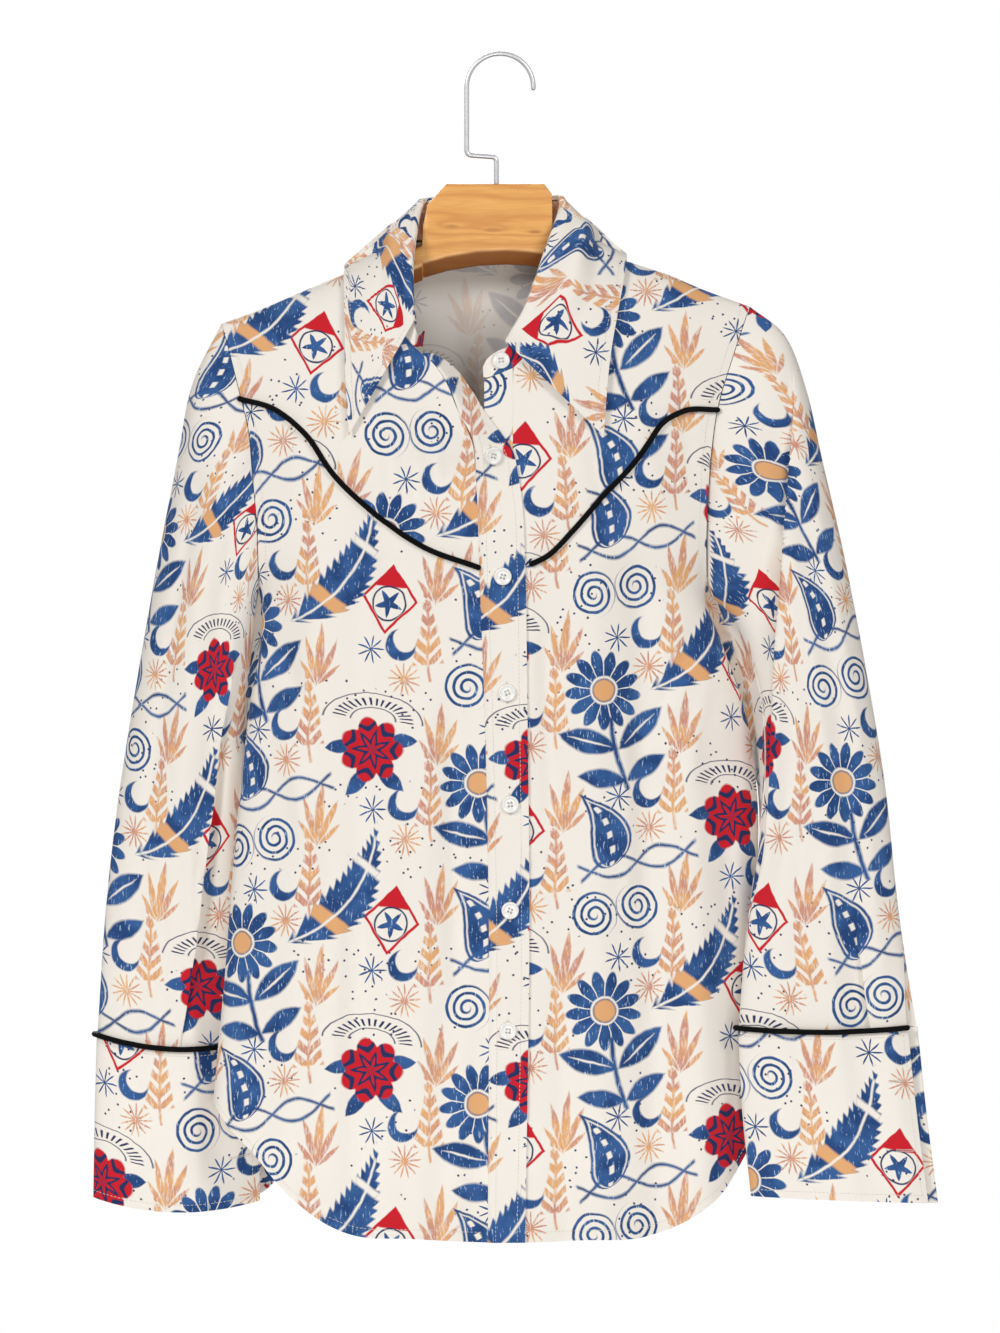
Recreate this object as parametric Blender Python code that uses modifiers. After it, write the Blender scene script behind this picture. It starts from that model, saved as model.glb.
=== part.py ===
"""Long-sleeved western shirt on a flat wooden hanger with a wire hook.

The origin is the top of the hook's inner curve, where a rail carries it.
+Z is up, the shirt's front faces -Y, and "right" and "left" in the names of
the pieces are the wearer's. Tables and sizes are in millimetres, and
build_sheet and its neighbours turn them into metres.

The body is one form: a section of given width and depth at each height,
closed over a shoulder line. Every panel is a patch of that form between its
own seams, and what lies on a panel is made from the form, moved out.
"""
import math
from collections import namedtuple

import bmesh
import bpy
import numpy as np
from mathutils import Matrix, Vector

MM = 0.001

# Columns of the front panels, the same on both sides of the piped seam
PANEL_COLUMNS = 11

# Walls and clearances
CLOTH = 1.0
DOUBLED = 1.6
SEAM = 0.2
SEAM_FACE = 0.5
LAID_ON = 0.5

# The body's form
SHOULDER_DROP = 110.0
SIDE_POWER = 2.6
TURN = 10.0
TURN_FROM, TURN_TO = -375.0, -600.0
FRONT, BACK = -1, 1

Level = namedtuple("Level", "height left right front back")
LEVELS = [
    Level(-840, -206, 170, 37, 34),
    Level(-764, -203, 176, 38, 34),
    Level(-734, -201, 177, 38, 34),
    Level(-634, -192, 178, 38, 33),
    Level(-592, -189, 180, 38, 33),
    Level(-522, -183, 181, 38, 33),
    Level(-452, -175, 170, 40, 34),
    Level(-410, -168, 155, 41, 35),
    Level(-377, -169, 144, 42, 36),
    Level(-350, -182, 153, 43, 36),
    Level(-296, -191, 162, 42, 36),
    Level(-250, -199, 173, 41, 35),
    Level(-180, -209, 193, 40, 36),
    Level(-90, -212, 198, 40, 36),
]

Shoulder = namedtuple("Shoulder", "across height")
SHOULDERS = [
    Shoulder(-195, -188), Shoulder(-168, -178), Shoulder(-140, -166),
    Shoulder(-108, -152.5), Shoulder(-63, -131), Shoulder(-35, -115),
    Shoulder(-8, -108), Shoulder(18, -112), Shoulder(44, -124),
    Shoulder(89, -144), Shoulder(119, -154), Shoulder(140, -163),
    Shoulder(175, -176),
]

# Broad folds that fall down the panels: a swell is positive outwards
Fold = namedtuple("Fold", "face top_x top_z low_x low_z width swell")
FOLDS = [
    Fold(FRONT, -128, -330, -150, -800, 17, 5.0),
    Fold(FRONT, -92, -300, -98, -830, 14, -4.0),
    Fold(FRONT, -52, -420, -60, -840, 15, 3.5),
    Fold(FRONT, 62, -300, 72, -840, 16, 4.0),
    Fold(FRONT, 98, -330, 112, -840, 14, -5.0),
    Fold(FRONT, 136, -450, 148, -800, 13, 5.0),
    Fold(BACK, -120, -300, -140, -830, 18, 4.5),
    Fold(BACK, -60, -260, -70, -840, 17, -4.0),
    Fold(BACK, 10, -330, 4, -840, 20, 4.0),
    Fold(BACK, 80, -280, 92, -840, 16, -4.5),
    Fold(BACK, 128, -360, 140, -830, 15, 4.0),
]
FOLD_FADE = 60.0

# Seams and edges, as height against the distance across
Edge = namedtuple("Edge", "across height")
HEM = [
    Edge(-202, -734), Edge(-194, -747), Edge(-172, -771), Edge(-157, -789),
    Edge(-144, -802), Edge(-127, -815.5), Edge(-108, -825), Edge(-60, -828.5),
    Edge(18, -831), Edge(60, -829.5), Edge(105, -827), Edge(139, -812),
    Edge(156, -798), Edge(176, -766),
]
HEM_RIGHT, HEM_LEFT = -734, -766
YOKE_RIGHT = [
    Edge(-183, -241), Edge(-154, -251), Edge(-133, -270), Edge(-119, -291),
    Edge(-91, -319), Edge(-56, -344), Edge(-14, -360),
]
YOKE_LEFT = [
    Edge(9, -364), Edge(18, -359), Edge(34, -351), Edge(52, -333), Edge(70, -312),
    Edge(98, -281), Edge(112, -260), Edge(126, -251), Edge(153, -249),
]

# The armhole's seam, as the distance across against the height
Armhole = namedtuple("Armhole", "height across")
ARMHOLE_RIGHT = [
    Armhole(-377, -169), Armhole(-330, -170), Armhole(-296, -173),
    Armhole(-260, -176.5), Armhole(-238, -182), Armhole(-214, -188),
    Armhole(-188, -195),
]
ARMHOLE_LEFT = [
    Armhole(-371, 145), Armhole(-345, 144.5), Armhole(-312, 145.5),
    Armhole(-277, 148), Armhole(-249, 152), Armhole(-207, 164.5),
    Armhole(-176, 175),
]
ARMHOLE_BACK = 6.0

# The buttoned edge. The right front's strip lies on top; near the neck its
# seam lifts off the form and its free edge turns in.
Strip = namedtuple("Strip", "height seam seam_lift edge edge_lift")
STRIP_RIGHT = [
    Strip(-831, -8.5, 0, 17.5, 0), Strip(-592, -8, 0, 20.5, 0),
    Strip(-452, -11, 0, 19, 0), Strip(-360, -14.5, 0, 17.5, 0),
    Strip(-311, -16, 1, 15, 0), Strip(-294, -17, 3, 12.5, 0),
    Strip(-279, -18, 8, 9, 0), Strip(-267, -21, 11, 1.5, 0),
    Strip(-254, -28, 12, -8.5, 0), Strip(-234, -36, 11, -21, -4),
    Strip(-222, -43, 9, -30, -4), Strip(-215, -49, 7, -38, -3),
    Strip(-207, -60, 5, -54, 0),
]
LIFT_SPREAD = 42.0
STRIP_LEFT_TOP_EDGE, STRIP_LEFT_LOW_EDGE = -11.0, -6.0
STRIP_LEFT_SEAM = 9.0
NECK_LEFT = -229.0
NECK_RIGHT = -207.0
STRIP_LIFT = 2.1
STRIP_TOP_GAP = 3.2
STRIP_GAP, STRIP_HINGE = 0.3, 0.17

# Sleeves: each row is a section seen from the front, from its edge at the
# viewer's right to its edge at the left, with half its depth and its middle
Section = namedtuple("Section", "right_x right_z left_x left_z half middle sag")
SLEEVE_RIGHT = [
    Section(-169.0, -377, -195.0, -188, 18, 0, 0),
    Section(-172.0, -391, -216, -231, 26, 2, 0),
    Section(-174.0, -412, -227, -284, 28, 6, 0),
    Section(-178.0, -455, -240, -350, 28, 12, 0),
    Section(-178.0, -520, -256, -440, 25, 18, 0),
    Section(-174.0, -580, -269, -522, 22, 22, 1),
    Section(-169.0, -635, -278, -600, 19, 25, 3),
    Section(-161.0, -687, -284, -687.5, 15, 28, 10.5),
]
SLEEVE_LEFT = [
    Section(175.0, -176, 145.0, -371, 18, 0, 0),
    Section(200, -197, 149, -380, 27, -2, 0),
    Section(215, -235, 162, -393, 30, -5, 0),
    Section(227, -288, 175, -420, 30, -8, 0),
    Section(241, -350, 184, -455, 28, -12, 0),
    Section(257, -434, 186, -502, 26, -16, 0),
    Section(270, -515, 181, -556, 23, -19, 0),
    Section(279, -600, 172, -618, 19, -21, 1),
    Section(291, -680, 167, -681, 15, -22, 3),
]
CUFF_RIGHT = [
    Section(-160.5, -687.5, -284.5, -688, 15.5, 28, 10.5),
    Section(-158, -744, -286, -744.5, 16, 28, 10.5),
    Section(-157, -801, -287, -803, 16.5, 28, 11),
]
CUFF_LEFT = [
    Section(291.5, -680.5, 166.5, -681.5, 15.5, -22, 3),
    Section(298, -742, 169.5, -741, 16, -23, 1),
    Section(306, -804, 175.5, -799, 16.5, -24, 0),
]
SLIT_LENGTH = 0.14
FREE_EDGE_RIGHT, FREE_EDGE_LEFT = 0.62, 0.46
SLEEVE_TURN_IN = 0.7
UNDERLAP = 1.05
UNDERLAP_DROP = 14.0
PIPING_END_RIGHT, PIPING_END_LEFT = 0.1, 0.5
UNDERLAP_RISE, UNDERLAP_FROM, UNDERLAP_FADE = 10.5, 5.5, 0.7
# Spare cloth under the arm, drawn across to the body's side and set back
SPARE_FROM, SPARE_RISE, SPARE_FALL, SPARE_TO = 0.08, 0.42, 0.8, 1.5
SPARE_CLEAR, SPARE_NEAR, SPARE_CAP = 1.0, 3.0, 0.08
SPARE_BACK_LEFT, SPARE_BACK_RIGHT = 17.0, 5.0
CAP_FADE = 0.35
ARMHOLE_SEAM = 0.85

# Collar: the stand's foot follows the neckline, from the left front round the
# back to the right front, and its top carries the fall
Stand = namedtuple("Stand", "foot_x foot_z foot_lift top_x top_y top_z")
STAND = [
    Stand(-11.5, -227.0, 0, -12.0, -37.5, -219.5),
    Stand(-8.0, -227.0, 0, -8.5, -37.0, -213.5),
    Stand(0.0, -224.0, 0, -1.5, -36.5, -208.5),
    Stand(9.0, -220.0, 0, 5.5, -35.5, -205.0),
    Stand(18.0, -211.0, 0, 11.5, -37.5, -195.0),
    Stand(30.0, -197.5, 0, 19.5, -36.0, -181.0),
    Stand(38.5, -178.5, 0, 27.0, -31.5, -159.5),
    Stand(44.5, -151.5, 0, 35.5, -21.5, -133.5),
    Stand(45.0, -124.4, 0, 43.0, 0.0, -105.0),
    Stand(36.0, -125.5, 0, 34.5, 15.0, -101.5),
    Stand(14.0, -128.0, 0, 13.0, 20.0, -100.5),
    Stand(-9.0, -130.5, 0, -9.0, 21.5, -100.5),
    Stand(-32.0, -130.0, 0, -29.0, 20.0, -101.0),
    Stand(-56.0, -129.5, 0, -50.5, 13.0, -103.0),
    Stand(-64.0, -131.5, 0, -56.5, 0.0, -108.0),
    Stand(-70.0, -149.5, 0, -61.0, -20.0, -134.0),
    Stand(-71.5, -174.0, 2, -62.5, -30.0, -158.5),
    Stand(-68.5, -194.0, 4, -61.5, -37.5, -180.5),
    Stand(-60.0, -205.3, 6, -58.5, -43.5, -195.0),
    Stand(-56.0, -205.3, -4, -54.5, -31.0, -197.0),
    Stand(-54.0, -205.3, -12, -52.5, -23.0, -194.0),
]
SHOULDER_LEFT, SHOULDER_RIGHT = 8, 14
STAND_SEAM = 2.0
FALL_FIRST, FALL_LAST = 3, 18
FALL_END = 17.7
Fall = namedtuple("Fall", "edge_x edge_z bulge")
FALL = [
    Fall(72.5, -268, 1.0), Fall(75, -232, 2.0), Fall(78, -206, 3.0),
    Fall(83, -178, 4.0), Fall(87, -155, 4.0), Fall(88, -138.0, 3.0),
    Fall(72, -147, 1.0), Fall(34, -147, 1.0), Fall(-9, -147, 1.0),
    Fall(-50, -150, 1.0), Fall(-92, -156, 1.0), Fall(-108, -146.8, 3.0),
    Fall(-109, -172, 4.0), Fall(-108.5, -196, 3.5), Fall(-108, -225, 2.5),
    Fall(-105.5, -267.5, 1.0),
]
FALL_CLEAR = 5.5
FALL_SETTLE = 0.8
ROLL_RADIUS = 2.6
ROLL_RISE = 1.0
ROLL_SEAM = 1.5
ROLL_SHARE = 0.2
NECK_SHARE = 0.4

# Trims
PIPING_RADIUS = 1.7
PIPING_POINTS = 19
BUTTON_RADIUS = 6.1
BUTTON_THICK = 2.2
BUTTON_SIDES = 14
FRONT_BUTTONS = [(-5.0, -282), (2.0, -366), (5.0, -447), (7.0, -525),
                 (7.0, -599), (5.5, -683)]
NECK_BUTTON = 0.11
CUFF_BUTTON_TURN = 0.7
CUFF_BUTTON_ROWS = (0.3, 0.7)

# Hanger
Rail = namedtuple("Rail", "across top low half")
HANGER = [
    Rail(-171, -186, -195, 2.4), Rail(-166, -180.5, -201, 3.4), Rail(-140, -168.8, -192, 5.2),
    Rail(-108, -155.5, -178, 6.2), Rail(-72, -140.5, -164, 6.6), Rail(-62, -136.5, -160.5, 6.8),
    Rail(-54.5, -133, -157.5, 7), Rail(-54, -119, -155.5, 7), Rail(-51, -104.5, -155, 7),
    Rail(-37.8, -90, -151, 7), Rail(-16, -90, -147.3, 7), Rail(5, -90, -146.3, 7),
    Rail(20, -90, -147.3, 7), Rail(31, -90, -149, 7), Rail(36.8, -97.6, -150.7, 7),
    Rail(36.4, -123, -151, 7), Rail(40.5, -129, -152, 7), Rail(52, -133, -156, 6.8),
    Rail(89, -147, -171, 6.2), Rail(119, -156.8, -180.5, 5.6), Rail(140, -165.8, -190, 4.6),
    Rail(152, -170.8, -193, 3.6), Rail(157, -175.5, -188, 2.4),
]
HANGER_ROUND = 2.4
HANGER_CHAMFER_HIGH = 10.0

# Hook
WIRE = 1.75
HOOK_RADIUS = 23.4
HOOK_TIP_TURN = -2.0
HOOK_JOG = -69.5
HOOK_FOOT_X, HOOK_FOOT_Z = -2.5, -89.7
HOOK_CORNER = 3.5

COLLECTION = "shirt_on_hanger"
Look = namedtuple("Look", "color roughness metallic")
LOOKS = {
    "cotton_print": Look((0.90, 0.84, 0.77), 0.85, 0.0),
    "piping_black": Look((0.02, 0.02, 0.022), 0.7, 0.0),
    "button_white": Look((0.90, 0.89, 0.87), 0.3, 0.0),
    "hanger_wood": Look((0.78, 0.45, 0.17), 0.45, 0.0),
    "hook_steel": Look((0.62, 0.62, 0.62), 0.3, 1.0),
}


# --- reading tables -------------------------------------------------------

def read(table, at):
    """Columns of a table, read smoothly at places on its first column."""
    rows = np.asarray(table, float)
    keys, values = rows[:, 0], rows[:, 1:]
    slopes = np.gradient(values, keys, axis=0)
    at = np.clip(np.asarray(at, float), keys[0], keys[-1])
    cell = np.clip(np.searchsorted(keys, at) - 1, 0, len(keys) - 2)
    width = (keys[cell + 1] - keys[cell])[..., None]
    t = (at[..., None] - keys[cell][..., None]) / width
    start, end = values[cell], values[cell + 1]
    leave, arrive = slopes[cell] * width, slopes[cell + 1] * width
    smooth = (start * (1 + 2 * t) * (1 - t) ** 2 + end * t * t * (3 - 2 * t)
              + leave * t * (1 - t) ** 2 + arrive * t * t * (t - 1))
    return np.moveaxis(smooth, -1, 0)


def along(rows, share):
    """Columns of a table read by the share of its rows passed, 0 to 1."""
    keyed = [(number,) + tuple(row) for number, row in enumerate(rows)]
    return read(keyed, np.asarray(share, float) * (len(rows) - 1))


def ease(value):
    """Smooth step from 0 to 1."""
    value = np.clip(value, 0.0, 1.0)
    return value * value * (3 - 2 * value)


def mix(start, end, share):
    """Value between two, by share."""
    return start + (end - start) * share


# --- the body's form ------------------------------------------------------

def fold_swell(x, z, face):
    """How far the folds of one face push the cloth out."""
    swell = np.zeros(np.broadcast(x, z).shape)
    for fold in FOLDS:
        if fold.face != face:
            continue
        share = (z - fold.top_z) / (fold.low_z - fold.top_z)
        centre = mix(fold.top_x, fold.low_x, share)
        begins = ease((fold.top_z - z) / FOLD_FADE)
        swell = swell + fold.swell * begins * np.exp(-((x - centre) / fold.width) ** 2)
    return swell


def body(x, z, face, grow=0.0):
    """Points of the body's form, grown outwards by a clearance."""
    x, z = np.broadcast_arrays(np.asarray(x, float), np.asarray(z, float))
    left, right, front, back = read(LEVELS, z)
    half = (right - left) / 2 + grow
    across = np.clip((x - (left + right) / 2) / half, -1, 1)
    drop = np.clip((read(SHOULDERS, x)[0] + grow - z) / SHOULDER_DROP, 0, 1)
    over = np.sqrt(1 - (1 - drop) ** 2)
    around = np.sqrt(1 - np.abs(across) ** SIDE_POWER)
    depth = (front if face == FRONT else back) + grow
    turn = TURN * across * ease((z - TURN_FROM) / (TURN_TO - TURN_FROM))
    y = turn + face * (SEAM_FACE + depth * over * around
                       + fold_swell(x, z, face) * over * around)
    return np.stack([x, y, z], axis=-1)


def right_front(x, z, grow=0.0):
    """The wearer's right front, lifted beside its buttoned edge."""
    points = body(x, z, FRONT, grow)
    seam, lift, _, _ = read(STRIP_RIGHT, z)
    lift = np.where(np.asarray(z) > NECK_RIGHT, lift * ease(1 - (z - NECK_RIGHT) / 60), lift)
    points[..., 1] -= lift * np.exp(-((x - seam) / LIFT_SPREAD) ** 2)
    return points


def left_front(x, z, grow=0.0):
    """The wearer's left front."""
    return body(x, z, FRONT, grow)


def back_face(x, z, grow=0.0):
    """The back."""
    return body(x, z, BACK, grow)


def moved_out(form, x, z, distance):
    """Points of a form moved along its own outward normal, and that normal."""
    step = 0.5
    here = form(x, z)
    side = form(x + step, z) - form(x - step, z)
    rise = form(x, z + step) - form(x, z - step)
    normal = np.cross(side, rise)
    normal = normal / np.linalg.norm(normal, axis=-1, keepdims=True)
    if form is back_face:
        normal = -normal
    return here + normal * distance, normal


# --- seams ----------------------------------------------------------------

def side_seam(z, right):
    """Distance across of the outer seam: armhole above, side seam below."""
    armhole = ARMHOLE_RIGHT if right else ARMHOLE_LEFT
    left_edge, right_edge, _, _ = read(LEVELS, z)
    edge = left_edge if right else right_edge
    return np.where(z > armhole[0].height, read(armhole, z)[0], edge)


def back_seam(z, right):
    """The same seam on the back, where the armhole runs further out."""
    armhole = ARMHOLE_RIGHT if right else ARMHOLE_LEFT
    low, high = armhole[0].height, armhole[-1].height
    share = np.clip((z - low) / (high - low), 0, 1)
    out = ARMHOLE_BACK * np.sin(math.pi * share)
    return side_seam(z, right) + (-out if right else out)


def chain(points, share):
    """Point on a smooth line through points, by share of its length."""
    points = np.asarray(points, float)
    steps = np.linalg.norm(np.diff(points, axis=0), axis=1)
    places = np.concatenate([[0], np.cumsum(steps)]) / steps.sum()
    return np.stack(read(np.column_stack([places, points]), share), axis=-1)


def patch(top, low, outer, inner, across, down):
    """Grid of places between four edges, each a function of a share."""
    u, v = across[None, :, None], down[:, None, None]
    t, b = top(across)[None], low(across)[None]
    o, i = outer(down)[:, None], inner(down)[:, None]
    corners = ((1 - u) * (1 - v) * t[:, :1] + u * (1 - v) * t[:, -1:]
               + (1 - u) * v * b[:, :1] + u * v * b[:, -1:])
    return (1 - v) * t + v * b + (1 - u) * o + u * i - corners


def places(x, z):
    """Pairs across and up from two arrays."""
    return np.stack(np.broadcast_arrays(x, z), axis=-1)


def rounded_shares(count):
    """Shares from 0 to 1 that crowd towards both ends."""
    return (1 - np.cos(np.linspace(0, math.pi, count))) / 2


# --- Blender objects ------------------------------------------------------

def clear_scene():
    """Remove every object and start the object's own collection."""
    for old in list(bpy.data.objects):
        bpy.data.objects.remove(old, do_unlink=True)
    home = bpy.data.collections.new(COLLECTION)
    bpy.context.scene.collection.children.link(home)
    return home


def material(name):
    """Principled material of one finish."""
    made = bpy.data.materials.get(name)
    if made is None:
        look = LOOKS[name]
        made = bpy.data.materials.new(name)
        made.use_nodes = True
        shader = made.node_tree.nodes["Principled BSDF"]
        shader.inputs["Base Color"].default_value = (*look.color, 1.0)
        shader.inputs["Roughness"].default_value = look.roughness
        shader.inputs["Metallic"].default_value = look.metallic
    return made


def add_object(home, name, data, finish):
    """Object with one finish in the object's collection."""
    made = bpy.data.objects.new(name, data)
    made.data.materials.append(material(finish))
    home.objects.link(made)
    return made


def build_sheet(home, name, grid, wall, finish="cotton_print", joined_rows=0, flip=False):
    """Cloth wall grown inwards from a grid of points on its outer face.

    The first joined_rows rows are closed into rings, by their first column.
    """
    rows, columns = grid.shape[:2]
    mesh = bmesh.new()
    verts = []
    for i in range(rows):
        line = [mesh.verts.new(Vector(grid[i, j]) * MM) for j in range(columns - 1)]
        last = line[0] if i < joined_rows else mesh.verts.new(Vector(grid[i, -1]) * MM)
        verts.append(line + [last])
    for i in range(rows - 1):
        for j in range(columns - 1):
            corners = [verts[i][j], verts[i][j + 1], verts[i + 1][j + 1], verts[i + 1][j]]
            mesh.faces.new(corners[::-1] if flip else corners)
    data = bpy.data.meshes.new(name)
    mesh.to_mesh(data)
    mesh.free()
    data.shade_smooth()
    made = add_object(home, name, data, finish)
    shell = made.modifiers.new("wall", "SOLIDIFY")
    shell.thickness = wall * MM
    shell.offset = -1
    return made


def build_wire(home, name, points, radius, finish, resolution):
    """Round wire through points, with closed ends."""
    curve = bpy.data.curves.new(name, "CURVE")
    curve.dimensions = "3D"
    curve.bevel_depth = radius * MM
    curve.bevel_resolution = resolution
    curve.use_fill_caps = True
    line = curve.splines.new("POLY")
    line.points.add(len(points) - 1)
    for place, point in zip(line.points, points):
        place.co = (*(Vector(point) * MM), 1.0)
    return add_object(home, name, curve, finish)


def build_button(home, name, centre, normal):
    """Flat round button with a softened rim, seated on its cloth."""
    bpy.ops.mesh.primitive_cylinder_add(vertices=BUTTON_SIDES, radius=BUTTON_RADIUS * MM,
                                        depth=BUTTON_THICK * MM)
    made = bpy.context.object
    made.name = name
    for owner in list(made.users_collection):
        owner.objects.unlink(made)
    home.objects.link(made)
    made.data.materials.append(material("button_white"))
    axis = Vector(normal).normalized()
    seat = Vector(centre) + axis * (LAID_ON + BUTTON_THICK / 2)
    turn = Vector((0, 0, 1)).rotation_difference(axis).to_matrix().to_4x4()
    made.matrix_world = Matrix.Translation(seat * MM) @ turn
    rim = made.modifiers.new("rim", "BEVEL")
    rim.width = 0.5 * MM
    rim.segments = 1
    rim.limit_method = "ANGLE"
    return made


# --- panels ---------------------------------------------------------------

def yoke_edge(table, x):
    """Height of the yoke's seam."""
    return read(table, x)[0]


def neckline(right):
    """Places down a front's neckline, just outside the foot of the stand."""
    rows = STAND[SHOULDER_RIGHT:FALL_LAST + 1] if right \
        else STAND[SHOULDER_LEFT:FALL_FIRST - 1:-1]
    feet = np.array([(row.foot_x, row.foot_z) for row in rows])
    run = np.gradient(feet, axis=0)
    run = run / np.linalg.norm(run, axis=1, keepdims=True)
    away = np.column_stack([run[:, 1], -run[:, 0]]) * (1 if right else -1)
    line = feet + away * STAND_SEAM
    line[0] = feet[0] + (-STAND_SEAM if right else STAND_SEAM, 0)
    line[0, 1] = read(SHOULDERS, line[0, 0])[0]
    return line


def back_neck(x):
    """Height of the back's neck edge, just below the foot of the stand."""
    rows = STAND[SHOULDER_LEFT:SHOULDER_RIGHT + 1][::-1]
    return read([(row.foot_x, row.foot_z) for row in rows], x)[0] - STAND_SEAM


def inner_seam(z, right):
    """Distance across of the seam of a front's buttoned strip."""
    if right:
        return read(STRIP_RIGHT, z)[0] - SEAM
    return np.full(np.shape(z), STRIP_LEFT_SEAM + SEAM)


def yoke_inner(right, low_end, share):
    """Places down a yoke's inner edge: the neckline, then the strip's seam."""
    neck = neckline(right)
    z = np.linspace(neck[-1, 1], low_end, 12)
    seam = places(inner_seam(z, right), z)
    seam[0] = neck[-1]
    first = chain(neck, np.clip(share / NECK_SHARE, 0, 1))
    second = chain(seam, np.clip((share - NECK_SHARE) / (1 - NECK_SHARE), 0, 1))
    return np.where((share <= NECK_SHARE)[:, None], first, second)


def build_yoke(home, right):
    """Front yoke, from the shoulder seam to the piped seam."""
    table = YOKE_RIGHT if right else YOKE_LEFT
    armhole = ARMHOLE_RIGHT if right else ARMHOLE_LEFT
    form = right_front if right else left_front
    outer_end = table[0] if right else table[-1]
    inner_end = table[-1] if right else table[0]
    neck = neckline(right)[0, 0]

    def top(share):
        x = mix(armhole[-1].across, neck, share)
        return places(x, read(SHOULDERS, x)[0])

    def low(share):
        x = mix(outer_end.across, inner_end.across, share)
        return places(x, yoke_edge(table, x) + SEAM)

    def outer(share):
        z = mix(armhole[-1].height, outer_end.height + SEAM, share)
        return places(side_seam(z, right), z)

    def inner(share):
        return yoke_inner(right, inner_end.height + SEAM, share)

    across = rounded_shares(PANEL_COLUMNS)
    down = np.linspace(0, 1, 14) ** 1.7
    grid = patch(top, low, outer, inner, across, down)
    points = form(grid[..., 0], grid[..., 1])
    name = "yoke_right" if right else "yoke_left"
    build_sheet(home, name, points, CLOTH, flip=right)


def build_front(home, right):
    """Lower front panel, from the piped seam to the hem."""
    table = YOKE_RIGHT if right else YOKE_LEFT
    form = right_front if right else left_front
    outer_end = table[0] if right else table[-1]
    inner_end = table[-1] if right else table[0]
    corner = HEM_RIGHT if right else HEM_LEFT

    def top(share):
        x = mix(outer_end.across, inner_end.across, share)
        return places(x, yoke_edge(table, x) - SEAM)

    def low(share):
        x = mix(side_seam(np.array(float(corner)), right), foot, share)
        return places(x, read(HEM, x)[0])

    def outer(share):
        z = mix(outer_end.height - SEAM, corner, share)
        return places(side_seam(z, right), z)

    def inner(share):
        z = mix(inner_end.height - SEAM, foot_height, share)
        return places(inner_seam(z, right), z)

    foot = inner_seam(np.array(-831.0), right)
    foot_height = float(read(HEM, foot)[0])
    across = rounded_shares(PANEL_COLUMNS)
    down = np.linspace(0, 1, 13)
    grid = patch(top, low, outer, inner, across, down)
    points = form(grid[..., 0], grid[..., 1])
    name = "front_right" if right else "front_left"
    build_sheet(home, name, points, CLOTH, flip=right)


def build_back(home):
    """Back in one piece, from the shoulder seams and neck to the hem."""
    neck_right, neck_left = STAND[SHOULDER_RIGHT].foot_x, STAND[SHOULDER_LEFT].foot_x

    def top(share):
        x = mix(ARMHOLE_RIGHT[-1].across, ARMHOLE_LEFT[-1].across, share)
        shoulder = read(SHOULDERS, x)[0]
        at_neck = (x > neck_right) & (x < neck_left)
        return places(x, np.where(at_neck, np.minimum(back_neck(x), shoulder), shoulder))

    def low(share):
        ends = (side_seam(np.array(float(HEM_RIGHT)), True),
                side_seam(np.array(float(HEM_LEFT)), False))
        x = mix(ends[0], ends[1], share)
        return places(x, read(HEM, x)[0])

    def edge(right):
        armhole = ARMHOLE_RIGHT if right else ARMHOLE_LEFT
        corner = HEM_RIGHT if right else HEM_LEFT

        def line(share):
            z = mix(armhole[-1].height, corner, share)
            return places(back_seam(z, right), z)
        return line

    across = rounded_shares(20)
    down = np.linspace(0, 1, 19) ** 1.9
    grid = patch(top, low, edge(True), edge(False), across, down)
    points = back_face(grid[..., 0], grid[..., 1])
    build_sheet(home, "back", points, CLOTH)


# --- buttoned strips ------------------------------------------------------

def strip_point(z, share):
    """Point across the upper strip, from its seam (0) to its free edge (1)."""
    seam, seam_lift, edge, edge_lift = read(STRIP_RIGHT, z)
    hinge = STRIP_GAP + STRIP_HINGE * np.abs(seam_lift - edge_lift)
    x = mix(seam + hinge, edge, share)
    lift = mix(seam_lift, edge_lift, share)
    points = body(x, z, FRONT)
    points[..., 1] -= STRIP_LIFT + lift
    return points


def build_strips(home):
    """The upper strip with the buttonholes and the lower strip beneath it."""
    yoke_low = YOKE_RIGHT[-1].height
    z = np.concatenate([np.linspace(NECK_RIGHT - STRIP_TOP_GAP, yoke_low, 14)[:-1],
                        np.linspace(yoke_low, -831.0, 10)])[:, None]
    share = np.linspace(0, 1, 4)[None, :]
    z, share = np.broadcast_arrays(z, share)
    build_sheet(home, "placket_upper", strip_point(z, share), DOUBLED, flip=True)
    share = np.linspace(0, 1, 4)
    top = mix(NECK_LEFT, neckline(False)[-1, 1], share)[None, :] - SEAM
    z = mix(top, -831.0, np.linspace(0, 1, 18)[:, None])
    narrow = ease((NECK_LEFT - 15 - z) / 60)
    edge = mix(STRIP_LEFT_TOP_EDGE, STRIP_LEFT_LOW_EDGE, narrow)
    points = left_front(mix(edge, STRIP_LEFT_SEAM - SEAM, share), z)
    build_sheet(home, "placket_lower", points, DOUBLED, flip=True)


# --- sleeves and cuffs ----------------------------------------------------

def ring(rows, share, turn):
    """Point on a sleeve's section: turn 0 at its right edge, pi/2 in front."""
    right_x, right_z, left_x, left_z, half, middle, sag = along(rows, share)
    out = np.cos(turn)
    x = (right_x + left_x) / 2 + out * (right_x - left_x) / 2
    z = (right_z + left_z) / 2 + out * (right_z - left_z) / 2
    lapped = turn > 2 * math.pi
    reach = np.where(lapped, half - UNDERLAP_DROP, half)
    y = middle - reach * np.sin(turn)
    z = z - sag * np.sin(turn) ** 2 * np.where(np.sin(turn) > 0, 1.0, 0.3)
    return np.stack([x, y, z], axis=-1)


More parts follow.
